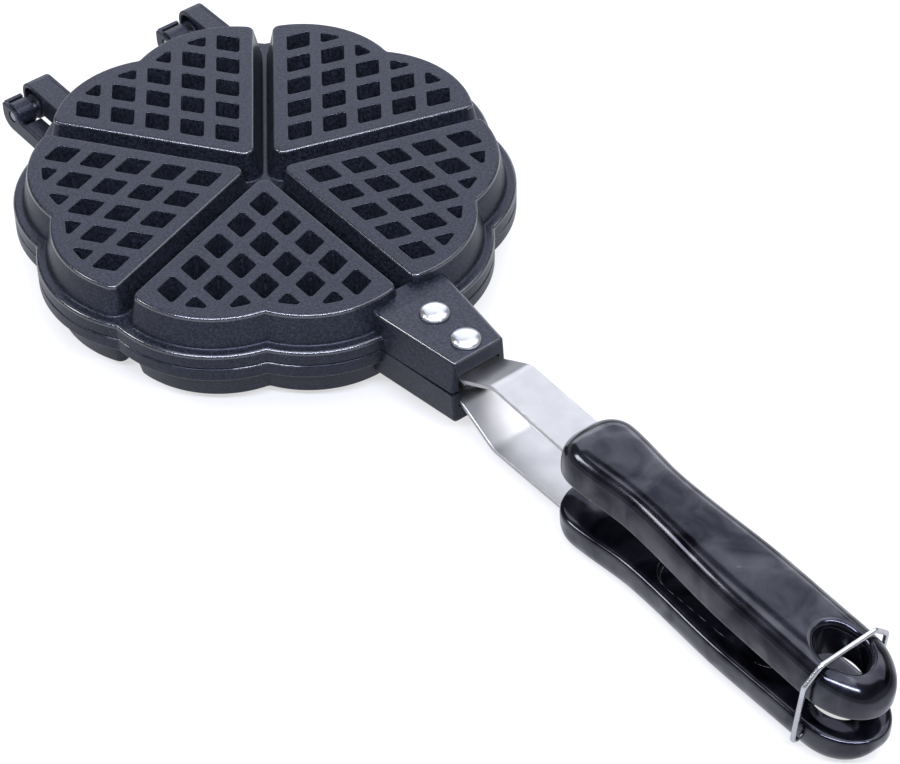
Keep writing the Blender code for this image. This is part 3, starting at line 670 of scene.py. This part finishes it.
# %% Bracket
BRACKET_START, BRACKET_END = 80.5, 122.7
START_HALF, END_HALF = 16.5, 10.7
BRACKET_TOP = 13.9
BRACKET_SPREAD = 1.0
CHANNEL_START = 90.0
CHANNEL_HALF = 8.9
CHANNEL_ROOF = 7.3
SHOULDER = 1.5
WEDGE = 0.5  # how far the underside rises to the bracket's end, so that the two brackets part there
END_EDGE = 0.9
SLIT = 0.02  # height that the channel's loop keeps where the channel has none


def smoothstep(share):
    share = np.clip(share, 0, 1)
    return share * share * (3 - 2 * share)


def bracket_section(x, drawn, channel):
    """Loop of Y and Z at one X. drawn is how far the end's rounding has moved its outside inwards."""
    share = (x - BRACKET_START) / (BRACKET_END - BRACKET_START)
    top = START_HALF + (END_HALF - START_HALF) * share - drawn
    foot = top + BRACKET_SPREAD
    under = JOINT + WEDGE * smoothstep(share)
    roof = under + (CHANNEL_ROOF - under) * channel
    crown, ceiling, half = BRACKET_TOP - drawn, roof + SLIT, CHANNEL_HALF
    outer = bent([(-foot, under), (-top, crown), (top, crown), (foot, under)], [SHOULDER] * 2, 5)
    soft = [0.01 + 0.6 * channel] * 2
    inner = bent([(half, under), (half, ceiling), (-half, ceiling), (-half, under)], soft, 3)
    loop = np.concatenate([outer, inner])
    return np.concatenate([np.full((len(loop), 1), x), loop], axis=1)


def bracket():
    """Sections at the root, on both sides of the channel's start, and round the end's soft edge."""
    stations = [(BRACKET_START, 0, 0), (CHANNEL_START - 0.01, 0, 0), (CHANNEL_START, 0, 1)]
    for turn in np.linspace(0, math.pi / 2, 5):
        stations.append((BRACKET_END - END_EDGE * (1 - math.sin(turn)), END_EDGE * (1 - math.cos(turn)), 1))
    return capped(np.stack([bracket_section(*station) for station in stations]))


print("bracket points:", len(gathered(bracket())[0]))

# %% [markdown]
# ## The hinge arms
# Each casting has two arms at the far side, one further out than the other, so that the two halves' arms lie
# side by side. An arm is a box, open below and towards its neighbour, with a barrel for the pin against its
# cheek.

# %% Hinge arms
ARM_HEIGHTS = {"upper": 9.6, "lower": 6.6}
ARM_ROOT = -70.0
BOX_ROOT = -93.8
ARM_WALL = 1.8
ARM_LIP = -3.5
ARM_CORNER = 5.5
PLATE_EDGE, BARREL_EDGE = 0.35, 0.4
BARREL_RADIUS, BORE = 5.0, 2.3
OUTER_ARM = (44.9, 36.5)  # Y of the cheek's outer face and of the open side
INNER_ARM = (-25.5, -35.5)


def arm(cheek, open_side, height):
    """A cheek plate with the pin's hole, the box's walls as one bent plate, and the barrel."""
    tip, pin, roof = -PIN_REACH - ARM_TIP, -PIN_REACH, height - ARM_WALL
    inward = math.copysign(1, open_side - cheek)
    half_in = cheek + inward * ARM_WALL / 2
    root = [(ARM_ROOT, height), (ARM_ROOT, JOINT)]
    lip = [(pin + 5.2, JOINT), (pin + 2.5, ARM_LIP), (tip + 0.01, ARM_LIP)]
    inside = [(BOX_ROOT, JOINT), (BOX_ROOT, roof), (tip + ARM_WALL, roof), (tip + ARM_WALL, ARM_LIP)]
    plate = bent([root[-1], *lip, (tip, height), *root], [0.6, 0.6, 1.2, ARM_CORNER, 0.1], 6)[:-1]
    bends = [0.5, 0.8, ARM_CORNER - ARM_WALL, 0.3, 0.3, ARM_CORNER, 0.1]
    strip = bent([root[-1], *inside, (tip, ARM_LIP), (tip, height), *root], bends, 6)[:-1]
    bore = [circle((pin, 0), BORE)]
    barrel = circle((pin, 0), BARREL_RADIUS, 48)
    return [
        slab(counter_clockwise(plate), (cheek, cheek + inward * ARM_WALL), PLATE_EDGE, bore),
        slab(counter_clockwise(strip), (half_in, open_side), PLATE_EDGE),
        slab(barrel, (half_in, open_side - inward * 0.4), BARREL_EDGE, bore),
    ]


def counter_clockwise(outline):
    """Turns the outline if its area, half the sum of neighbouring corners' cross products, is negative."""
    ahead = np.roll(outline, -1, axis=0)
    area = np.sum(outline[:, 0] * ahead[:, 1] - outline[:, 1] * ahead[:, 0]) / 2
    return outline[::-1] if area < 0 else outline


for half in BODIES:
    patches = [*casting, *bracket()]
    for cheek, open_side in (OUTER_ARM, INNER_ARM):
        patches += arm(cheek, open_side, ARM_HEIGHTS[half])
    make_piece(half + "_casting", patches, half, COAT, half + "_plate")

# %% [markdown]
# ## Satin steel
# The straps are cut from stainless sheet and finished with a belt. That leaves very fine lines along the
# strap, about 0.05 mm apart, drawn at 0.3 mm across and 30 mm along, which spread the reflection sideways.


# %% Steel and rivet finishes
def brushed_steel(name, shades, roughness, across_mm, along_mm):
    """A metal with lines along X, which its roughness and bump follow, and a faint cloud in its colour."""
    made, tree, shader, place = new_material(name)
    scale = (per(along_mm), per(across_mm), per(across_mm))
    stretched = add(tree, "ShaderNodeMapping", {"Vector": place, "Scale": scale})
    lines = add(tree, "ShaderNodeTexNoise", {"Vector": stretched, "Scale": 1.0, "Detail": 3})
    cloud = add(tree, "ShaderNodeTexNoise", {"Vector": place, "Scale": per(9), "Detail": 3})
    tint = add(tree, "ShaderNodeValToRGB", {"Fac": cloud}, list(zip((0.3, 0.7), shades)))
    spread = {"Value": lines, "To Min": roughness - 0.07, "To Max": roughness + 0.09}
    rough = add(tree, "ShaderNodeMapRange", spread)
    bump = add(tree, "ShaderNodeBump", {"Strength": 0.15, "Distance": 0.02 * MM, "Height": lines})
    feed(tree, shader, {"Base Color": tint, "Metallic": 1.0, "Roughness": rough, "Normal": bump})
    return made


STEEL = brushed_steel("belt_finished_stainless_steel", ("#b0b0b1", "#bebebe"), 0.36, 0.3, 30)
RIVET = brushed_steel("polished_aluminium_rivet", ("#c4c6cc", "#d4d6da"), 0.3, 0.6, 0.6)
PIN = brushed_steel("drawn_steel_pin", ("#8f9096", "#9c9da3"), 0.35, 0.4, 0.4)
WIRE = brushed_steel("zinc_plated_spring_wire", ("#b8b9bd", "#cccdd0"), 0.25, 0.6, 3)
print(STEEL.name, RIVET.name, PIN.name, WIRE.name)

# %% [markdown]
# ## The straps
# A strap is one strip of sheet, bent twice: flat under the bracket, up a short ramp, and along the grip. Its
# path is a line with rounded bends, and its section a rectangle with soft corners that is carried along the
# path.

# %% Straps
STRAP_HALF, STRAP_THICK, STRAP_EDGE = 8.6, 1.8, 0.4
STRAP_ROOT, ROOT_HEIGHT = 92.5, 5.4
RAMP = (123.7, 140.5)
STRAP_BENDS = [5.5, 9.0]
HANDLE_HEIGHT = 14.4
SLOPES = {"upper": math.radians(2.4), "lower": math.radians(0.7)}
GRIP_START, TANG = 174.3, 40


def line_height(x, half):
    """Height of the strap's middle line on its way along the grip."""
    return HANDLE_HEIGHT - (x - RAMP[1]) * math.tan(SLOPES[half])


def strap(half):
    """The path runs in X and height. The section's measures go across the strap and through it."""
    far = GRIP_START + TANG
    corners = [(STRAP_ROOT, ROOT_HEIGHT), (RAMP[0], ROOT_HEIGHT), (RAMP[1], HANDLE_HEIGHT)]
    corners.append((far, line_height(far, half)))
    thick = STRAP_THICK / 2
    box = np.array([[-STRAP_HALF, -thick], [STRAP_HALF, -thick], [STRAP_HALF, thick], [-STRAP_HALF, thick]])
    x, z, y = swept(bent(corners, STRAP_BENDS, 10), soft_polygon(box, 0, STRAP_EDGE, 3))
    return capped(np.stack([x, y, z], axis=-1))


for half in BODIES:
    make_piece(half + "_steel_strap", strap(half), half, STEEL, half + "_strap")

# %% [markdown]
# ## Rivets
# Two domed rivets hold each strap. The dome is an ellipse turned about the rivet's axis, with a small land
# round its edge where the die pressed it.

# %% Rivets
RIVET_REACHES = {"front": 98.7, "rear": 115.7}
HEAD_RADIUS, HEAD_HEIGHT, LAND = 5.4, 2.7, 0.25
SHANK_RADIUS, TAIL_RADIUS, TAIL_DEPTH = 2.4, 3.8, 1.5
SEAT = BRACKET_TOP + 0.02


def rivet(reach):
    """The profile runs from the tail under the strap, up the shank and over the dome."""
    turns = np.linspace(0, math.pi / 2, 14)[:-1]
    dome_heights = SEAT + LAND + (HEAD_HEIGHT - LAND) * np.sin(turns)
    under = ROOT_HEIGHT - STRAP_THICK / 2
    end = under - TAIL_DEPTH
    profile = [(0.5, end), (TAIL_RADIUS - 0.6, end), (TAIL_RADIUS, end + 0.5), (TAIL_RADIUS, under)]
    profile += [(SHANK_RADIUS, under), (SHANK_RADIUS, SEAT), (HEAD_RADIUS - 0.15, SEAT)]
    profile += [*zip(HEAD_RADIUS * np.cos(turns), dome_heights), (0.3, SEAT + HEAD_HEIGHT)]
    return capped(lathe(profile) + np.array([reach, 0, 0]))


for half in BODIES:
    for end, reach in RIVET_REACHES.items():
        make_piece(f"{half}_domed_rivet_{end}", rivet(reach), half, RIVET, f"{half}_rivet_{end}")

# %% [markdown]
# ## Moulded phenolic
# The grips are compression-moulded phenolic resin, black and glossy. Its refractive index is about 1.6,
# matched down to 1.38 because the photo's black grips hardly mirror the white paper. The surface isn't flat:
# shrinkage leaves long shallow waves of about 16 mm, which bend the reflections. Handling leaves hazy patches
# in the gloss, and the mould's gate a small round mark.

# %% Phenolic
WAVE_MM, HAZE_MM, FINE_MM = 16, 13, 0.5
WAVE_HEIGHT, FINE_HEIGHT, GATE_HEIGHT = 0.6 * MM, 0.02 * MM, 0.25 * MM
GATE_PLACE = (0.1507, -0.0040, 0)  # X and Y in metres
GATE_RADII = 0.6 * MM, 1.1 * MM


def black_phenolic():
    made, tree, shader, place = new_material("moulded_black_phenolic")
    waves = add(tree, "ShaderNodeTexNoise", {"Vector": place, "Scale": per(WAVE_MM), "Detail": 2})
    hazes = {"Vector": place, "Scale": per(HAZE_MM), "Detail": 5, "Distortion": 0.8}
    haze = add(tree, "ShaderNodeTexNoise", hazes)
    fine = add(tree, "ShaderNodeTexNoise", {"Vector": place, "Scale": per(FINE_MM), "Detail": 2})
    tint = add(tree, "ShaderNodeValToRGB", {"Fac": haze}, [(0.35, "#020203"), (0.72, "#121319")])
    patchy = {"Value": haze, "From Min": 0.35, "From Max": 0.7}
    rough = add(tree, "ShaderNodeMapRange", patchy | {"To Min": 0.08, "To Max": 0.22})
    gloss = add(tree, "ShaderNodeMapRange", patchy | {"To Min": 0.05, "To Max": 0.95})
    broad = add(tree, "ShaderNodeBump", {"Strength": 0.4, "Distance": WAVE_HEIGHT, "Height": waves})
    small = {"Strength": 0.06, "Distance": FINE_HEIGHT, "Height": fine, "Normal": broad}
    flattened = add(tree, "ShaderNodeVectorMath", {0: place, 1: (1, 1, 0)}, operation="MULTIPLY")
    away = add(tree, "ShaderNodeVectorMath", {0: flattened, 1: GATE_PLACE}, operation="DISTANCE")
    step = {"Value": away, "From Min": GATE_RADII[0], "From Max": GATE_RADII[1], "To Min": 1.0, "To Max": 0.0}
    mark = {"Strength": 0.8, "Distance": GATE_HEIGHT, "Height": add(tree, "ShaderNodeMapRange", step)}
    mark["Normal"] = add(tree, "ShaderNodeBump", small)
    looks = {"Base Color": tint, "Roughness": rough, "IOR": 1.38, "Specular Tint": colour("#d6d8ff")}
    looks |= {"Coat Weight": gloss, "Coat Roughness": 0.12, "Normal": add(tree, "ShaderNodeBump", mark)}
    feed(tree, shader, looks)
    return made


PHENOLIC = black_phenolic()
print(PHENOLIC.name)

# %% [markdown]
# ## The grips
# A grip swells behind its nose, narrows at a waist and swells again. Its sections are superellipses: a domed
# back over the widest line and a flatter inner face under it. The front part is a plain grid of sections. The
# tail carries the hanging hole, so there the grid runs from the hole's rim out to the grip's outline, like a
# flower.

# %% Grip sizes
GRIP_LENGTH = 142.5
FRONT_HALF, WAIST_HALF, REAR_HALF = 14.3, 12.3, 14.7
NOSE, WAIST_PLACE, REAR_PLACE, TAIL = 13.0, 39.0, 88.0, 20.6
NOSE_POWER, TAIL_POWER = 2.2, 2.1
DOME = 18.0
EDGE_DROP, BACK, INNER = 2.0, 9.8, 5.5
BACK_POWER, INNER_POWER = 3.2, 4.0
HOLE_PLACE = 122.6
HOLE_A, HOLE_B = 9.8, 7.2
FLARE, FLARE_DEPTH, INNER_FLARE = 2.4, 2.8, 0.6
SPLIT = 105.0
RECESS = (44.5, 104.0)
RECESS_HALF, RECESS_FLOOR, RECESS_LIP = 9.4, -3.2, 1.2
COARSE, FINE = 1.0, 0.3  # distance between two sections along the grip, and at the recess's ends and the tail


def round_end(distance, length, power=2.0):
    """Share of full size at a distance from a round tip, as a superellipse."""
    left = np.clip(1 - distance / length, 0, 1)
    return np.clip(1 - left**power, 0, 1) ** (1 / power)


def half_width(s):
    front = FRONT_HALF + (WAIST_HALF - FRONT_HALF) * smoothstep((s - NOSE) / (WAIST_PLACE - NOSE))
    rear = WAIST_HALF + (REAR_HALF - WAIST_HALF) * smoothstep((s - WAIST_PLACE) / (REAR_PLACE - WAIST_PLACE))
    width = np.where(s < WAIST_PLACE, front, rear)
    return width * round_end(s, NOSE, NOSE_POWER) * round_end(GRIP_LENGTH - s, TAIL, TAIL_POWER)


def dome(s):
    return round_end(s, NOSE, NOSE_POWER) * round_end(GRIP_LENGTH - s, DOME)


def back_height(s, y):
    """The back over plan points: the widest line plus the superellipse's rise there."""
    share = np.clip(np.abs(y) / np.maximum(half_width(s), 1e-6), 0, 1)
    return -EDGE_DROP + (BACK + EDGE_DROP) * dome(s) * (1 - share**BACK_POWER) ** (1 / BACK_POWER)


def inner_height(s, y):
    share = np.clip(np.abs(y) / np.maximum(half_width(s), 1e-6), 0, 1)
    depth = (INNER - EDGE_DROP) * dome(s) ** (1 / INNER_POWER)
    return -EDGE_DROP - depth * (1 - share**INNER_POWER) ** (1 / INNER_POWER)


def recessed(s, y, z):
    """Pushes the inner face in to the recess's floor inside a long oval, over a soft lip."""
    middle = np.clip(s, RECESS[0] + RECESS_HALF, RECESS[1] - RECESS_HALF)
    inside = RECESS_HALF - np.hypot(s - middle, y)
    return z + (np.maximum(RECESS_FLOOR, z) - z) * smoothstep(inside / RECESS_LIP)


print("half width at the waist:", float(half_width(np.array(WAIST_PLACE))))


# %% Grip surface
def grip_front():
    """Sections from nose to split: over the back by angle, and under the inner face by share of width."""
    nose = NOSE * (1 - np.cos(np.linspace(0, math.pi / 2, 22))) + 0.0005
    front_end, rear_end = RECESS[0] + RECESS_HALF, RECESS[1] - RECESS_HALF
    spans = [(NOSE + 1, RECESS[0] - 1, COARSE), (RECESS[0] - 0.6, front_end, FINE)]
    spans += [(front_end + 0.5, rear_end, COARSE), (rear_end + 0.5, SPLIT - 0.1, FINE)]
    s = np.concatenate([nose, *[np.arange(*span) for span in spans], [SPLIT]])[:, None]
    turns = np.linspace(0, math.pi, 65)
    back_share = np.sign(np.cos(turns)) * np.abs(np.cos(turns)) ** (2 / BACK_POWER)
    under = np.linspace(0, math.pi, 121)[1:-1]
    inner_share = -np.sign(np.cos(under)) * np.abs(np.cos(under)) ** 0.75
    y_back, y_inner = half_width(s) * back_share, half_width(s) * inner_share
    z_inner = recessed(s, y_inner, inner_height(s, y_inner))
    y = np.concatenate([y_back, y_inner], axis=1)
    z = np.concatenate([back_height(s, y_back), z_inner], axis=1)
    return np.stack([np.broadcast_to(s, y.shape), y, z], axis=-1), len(turns)


def tail_outline(steps=56):
    """Plan outline from the split round the tail, from plus to minus in Y, denser towards the tip."""
    turns = np.linspace(0, math.pi / 2, steps)
    s = SPLIT + (GRIP_LENGTH - SPLIT) * np.sin(turns)
    y = half_width(s)
    return np.concatenate([np.stack([s, y], -1), np.stack([s, -y], -1)[-2::-1]])


def rim_points(plan, grow):
    """The hole's point that lies in the same stretched direction as each outer point."""
    way = np.arctan2(plan[:, 1] / HOLE_B, (plan[:, 0] - HOLE_PLACE) / HOLE_A)
    return np.stack([HOLE_PLACE + (HOLE_A + grow) * np.cos(way), (HOLE_B + grow) * np.sin(way)], axis=-1)


def flower(outer, grow, height):
    """Rings from the hole's rim to the outline: the share of the way is one minus a cube."""
    rim = rim_points(outer, grow)
    share = 1 - (1 - np.linspace(0, 1, 30)) ** 3
    plan = rim[None] + (outer - rim)[None] * share[:, None, None]
    return np.concatenate([plan, height(plan[..., 0], plan[..., 1])[..., None]], axis=-1)


def grip():
    """The front grid and its tip, the tail's two flowers, and the hole's wall with its two flares."""
    front, back_count = grip_front()
    last = front[-1]
    inner_line = np.concatenate([last[back_count - 1 :], last[:1]])
    tail = tail_outline()[1:-1]
    back_loop = np.concatenate([last[:back_count][::-1, :2], tail])
    back = flower(back_loop, FLARE, back_height)
    inner = flower(np.concatenate([inner_line[:, :2], tail]), INNER_FLARE, inner_height)
    rim = rim_points(back_loop, 0)
    bottom = inner_height(rim[:, 0], rim[:, 1])
    turns = np.linspace(0, math.pi / 2, 9)
    falls = list(zip(1 - np.sin(turns), 1 - np.cos(turns)))
    rings = [(FLARE * outward, back[0, :, 2] - FLARE_DEPTH * down) for outward, down in falls]
    rings += [(INNER_FLARE * outward, bottom + INNER_FLARE * up) for up, outward in falls]
    wall = [np.concatenate([rim_points(back_loop, grow), height[:, None]], axis=1) for grow, height in rings]
    return [grid(front), caps(front[:1]), grid(back), grid(inner), grid(np.stack(wall))]


def in_grip_frame(patch, half):
    """The grip's own points turned by the strap's slope about Y and moved to the strap's middle line."""
    points, faces = patch
    cos, sin = math.cos(SLOPES[half]), math.sin(SLOPES[half])
    x, y, z = points.T
    nose = line_height(GRIP_START, half)
    moved = np.stack([x * cos + z * sin + GRIP_START, y, z * cos - x * sin + nose], axis=-1)
    return moved, faces


grip_patches = grip()
for half in BODIES:
    shaped = [in_grip_frame(patch, half) for patch in grip_patches]
    make_piece(half + "_moulded_grip", shaped, half, PHENOLIC, half + "_grip")

# %% [markdown]
# ## The bail
# The bail is one bent wire. Its ends are turned inwards and sit in two holes of the lower grip, and its
# straight top lies over the upper grip. A round section is carried along a path with rounded bends, leaning a
# little back.

# %% Bail
WIRE_RADIUS = 0.9
BAIL_HALF, BAIL_TOP_HALF = 17.5, 11.4
BAIL_TOP, BAIL_SHOULDER = 33.8, 27.7
BAIL_INNER = 10.6
BAIL_BEND = 2.2
BAIL_LEAN = math.radians(4.9)
bail_pivot = next(joint for joint in frame["joints"] if joint["name"] == "bail_hinge")["pos_m"]


def bail():
    """Path in Y and height over the pivot. Each section stands across it, and the whole leans about Y."""
    corners = [(BAIL_INNER, 0), (BAIL_HALF, 0), (BAIL_HALF, BAIL_SHOULDER), (BAIL_TOP_HALF, BAIL_TOP)]
    corners += [(-y, z) for y, z in corners[::-1]]
    y, z, x = swept(bent(corners, [BAIL_BEND] * 6, 9), circle((0, 0), WIRE_RADIUS, 20))
    cos, sin = math.cos(BAIL_LEAN), math.sin(BAIL_LEAN)
    points = np.stack([x * cos + z * sin, y, z * cos - x * sin], axis=-1)
    return capped(points + np.array(bail_pivot) / MM - ORIGIN)


make_piece("wire_bail", bail(), "upper", WIRE, "bail", body="bail")

# %% [markdown]
# ## Hinge pins and screws
# The pins are plain drawn rods with a small chamfer. The two grip screws sit in the grips' recesses, where
# they hardly show, so the CAD solids stay and only get their finish.

# %% Pins and screws
PIN_RADIUS, PIN_EDGE = 2.0, 0.3
PIN_SET_IN = 0.3  # how far a pin's ends lie inside the cheeks' outer faces
for side, direction in (("left", 1), ("right", -1)):
    ends = [direction * end for end in (PIN_SET_IN - INNER_ARM[0], OUTER_ARM[0] - PIN_SET_IN)]
    rod = slab(circle((-PIN_REACH, 0), PIN_RADIUS, 32), ends, PIN_EDGE)
    make_piece("drawn_pin_" + side, [rod], "upper", PIN, "hinge_pin_" + side, body="base")
for half in BODIES:
    node = frame["nodes"][half + "_grip_screw"]
    node.data.materials.clear()
    node.data.materials.append(PIN)
print("pins and screws done")

# %% [markdown]
# ## Floor, light and camera
# The pan stands on plain white paper with a low backdrop all round, so far out that the camera stays inside
# it when the pan lies open. Wide soft panels behind, above and beside it give the broad sheen on the coat,
# the steel and the grips. A narrow strip over the camera draws the thin bright lines on the rims, and a small
# softbox on the left the streak along a grip. The paper is lifted to white where it is seen, straight or
# mirrored, so that it doesn't pour more light on the object.


# %% Floor, backdrop and world
MIRRORED = 0.4  # share of the paper's lift that steel and gloss show
LIFT_FROM, LIFT_TO = (0.5, 0.62), (2.2, 1.0)  # distance from the pan in metres, and the lift there
STUDIO_RADIUS, BACKDROP_HEIGHT, STUDIO_SIDES = 6.0, 1.8, 96
AMBIENT = 0.08


def seen(tree):
    """One for rays straight from the camera, MIRRORED for those mirrored or seen through glass."""
    rays = add(tree, "ShaderNodeLightPath").outputs
    indirect = {0: rays["Is Glossy Ray"], 1: rays["Is Transmission Ray"]}
    mirrored = add(tree, "ShaderNodeMath", indirect, operation="MAXIMUM")
    weaker = add(tree, "ShaderNodeMath", {0: mirrored, 1: MIRRORED}, operation="MULTIPLY")
    return add(tree, "ShaderNodeMath", {0: rays["Is Camera Ray"], 1: weaker}, operation="MAXIMUM")


def white_paper():
    made, tree, shader, place = new_material("white_studio_paper")
    reach = add(tree, "ShaderNodeVectorMath", {0: place}, operation="LENGTH")
    growth = {"Value": reach, "From Min": LIFT_FROM[0], "From Max": LIFT_TO[0]}
    glow = add(tree, "ShaderNodeMapRange", growth | {"To Min": LIFT_FROM[1], "To Max": LIFT_TO[1]})
    lift = add(tree, "ShaderNodeMath", {0: seen(tree), 1: glow}, operation="MULTIPLY")
    looks = {"Base Color": colour("#9c9c9c"), "Roughness": 0.9, "Emission Color": (1, 1, 1, 1)}
    feed(tree, shader, looks | {"Emission Strength": lift})
    return made


paper = white_paper()
bpy.ops.mesh.primitive_circle_add(
    vertices=STUDIO_SIDES, radius=STUDIO_RADIUS, fill_type="NGON", location=(0, 0, 0)
)
floor = bpy.context.object
floor.name = "studio_floor"
bpy.ops.mesh.primitive_cylinder_add(
    vertices=STUDIO_SIDES,
    radius=STUDIO_RADIUS,
    depth=BACKDROP_HEIGHT,
    end_fill_type="NOTHING",
    location=(0, 0, BACKDROP_HEIGHT / 2),
)
backdrop = bpy.context.object
backdrop.name = "studio_backdrop"
for sheet in (floor, backdrop):
    sheet.data.materials.append(paper)

world = bpy.data.worlds.new("studio")
bpy.context.scene.world = world
world.use_nodes = True
feed(world.node_tree, world.node_tree.nodes["Background"], {"Color": (1, 1, 1, 1), "Strength": AMBIENT})
print("floor, backdrop and world done")

# %% Lamps
# Name, place, target, size in metres, radiance and colour.
LAMPS = [
    ("back_panel", (-1.00, 0.79, 1.25), (0, 0, 0), (2.0, 1.5), 1.75, "#f0f3ff"),
    ("overhead_panel", (0.15, -0.1, 1.5), (0, 0, 0), (1.5, 1.1), 2.6, "#f6f8ff"),
    ("side_panel", (0.50, 0.84, 1.22), (0.05, 0, 0), (1.1, 1.2), 2.4, "#f8f9ff"),
    ("low_back_panel", (-1.344, 1.061, 0.556), (0, 0, 0), (2.2, 0.45), 2.2, "#f0f3ff"),
    ("left_softbox", (-0.72, -0.89, 0.96), (0.1, 0, 0), (0.34, 0.34), 14.0, "#ffffff"),
    ("front_strip", (0.66, -0.60, 1.2), (0, 0, 0), (1.9, 0.1), 60.0, "#e4e9ff"),
]


def panel(name, place, target, size, radiance, tint):
    """A rectangular lamp that faces a target. Its power is its radiance times pi times its area."""
    lamp = bpy.data.lights.new(name, "AREA")
    lamp.color = colour(tint)[:3]
    lamp.shape = "RECTANGLE"
    lamp.size, lamp.size_y = size
    lamp.energy = radiance * math.pi * size[0] * size[1]
    made = bpy.data.objects.new(name, lamp)
    bpy.context.scene.collection.objects.link(made)
    made.location = place
    made.rotation_euler = (Vector(place) - Vector(target)).to_track_quat("Z", "Y").to_euler()


for lamp in LAMPS:
    panel(*lamp)
print("lamps:", len(LAMPS))

# %% [markdown]
# ## The camera
# The photograph was solved from the pocket grid, which is flat and regular: that gives the camera's place,
# its turn and its focal length. The numbers are in pockets' pitches from the pan's middle on the plateau.

# %% Camera
FOCAL_PIXELS = 2948.77
IMAGE_WIDTH = 900
SENSOR = 36.0
CAMERA_PLACE = np.array([51.0002, -33.998, 49.9817])
CAMERA_RIGHT = (0.626595, 0.779284, -0.009763)
CAMERA_DOWN = (0.532806, -0.437485, -0.724379)

camera_data = bpy.data.cameras.new("camera")
camera_data.sensor_width = SENSOR
camera_data.lens = FOCAL_PIXELS / IMAGE_WIDTH * SENSOR
camera = bpy.data.objects.new("camera", camera_data)
bpy.context.scene.collection.objects.link(camera)
right = Vector(CAMERA_RIGHT).normalized()
up = -Vector(CAMERA_DOWN).normalized()
back = right.cross(up)
turn = Matrix((right, up, back)).transposed().to_4x4()
place = (CAMERA_PLACE * PITCH + ORIGIN + np.array([0, 0, PLATEAU])) * MM
camera.matrix_world = Matrix.Translation(Vector(place)) @ turn
bpy.context.scene.camera = camera
bpy.context.scene.view_settings.view_transform = "Standard"
print("camera at", place.round(4), "lens", round(camera_data.lens, 2))
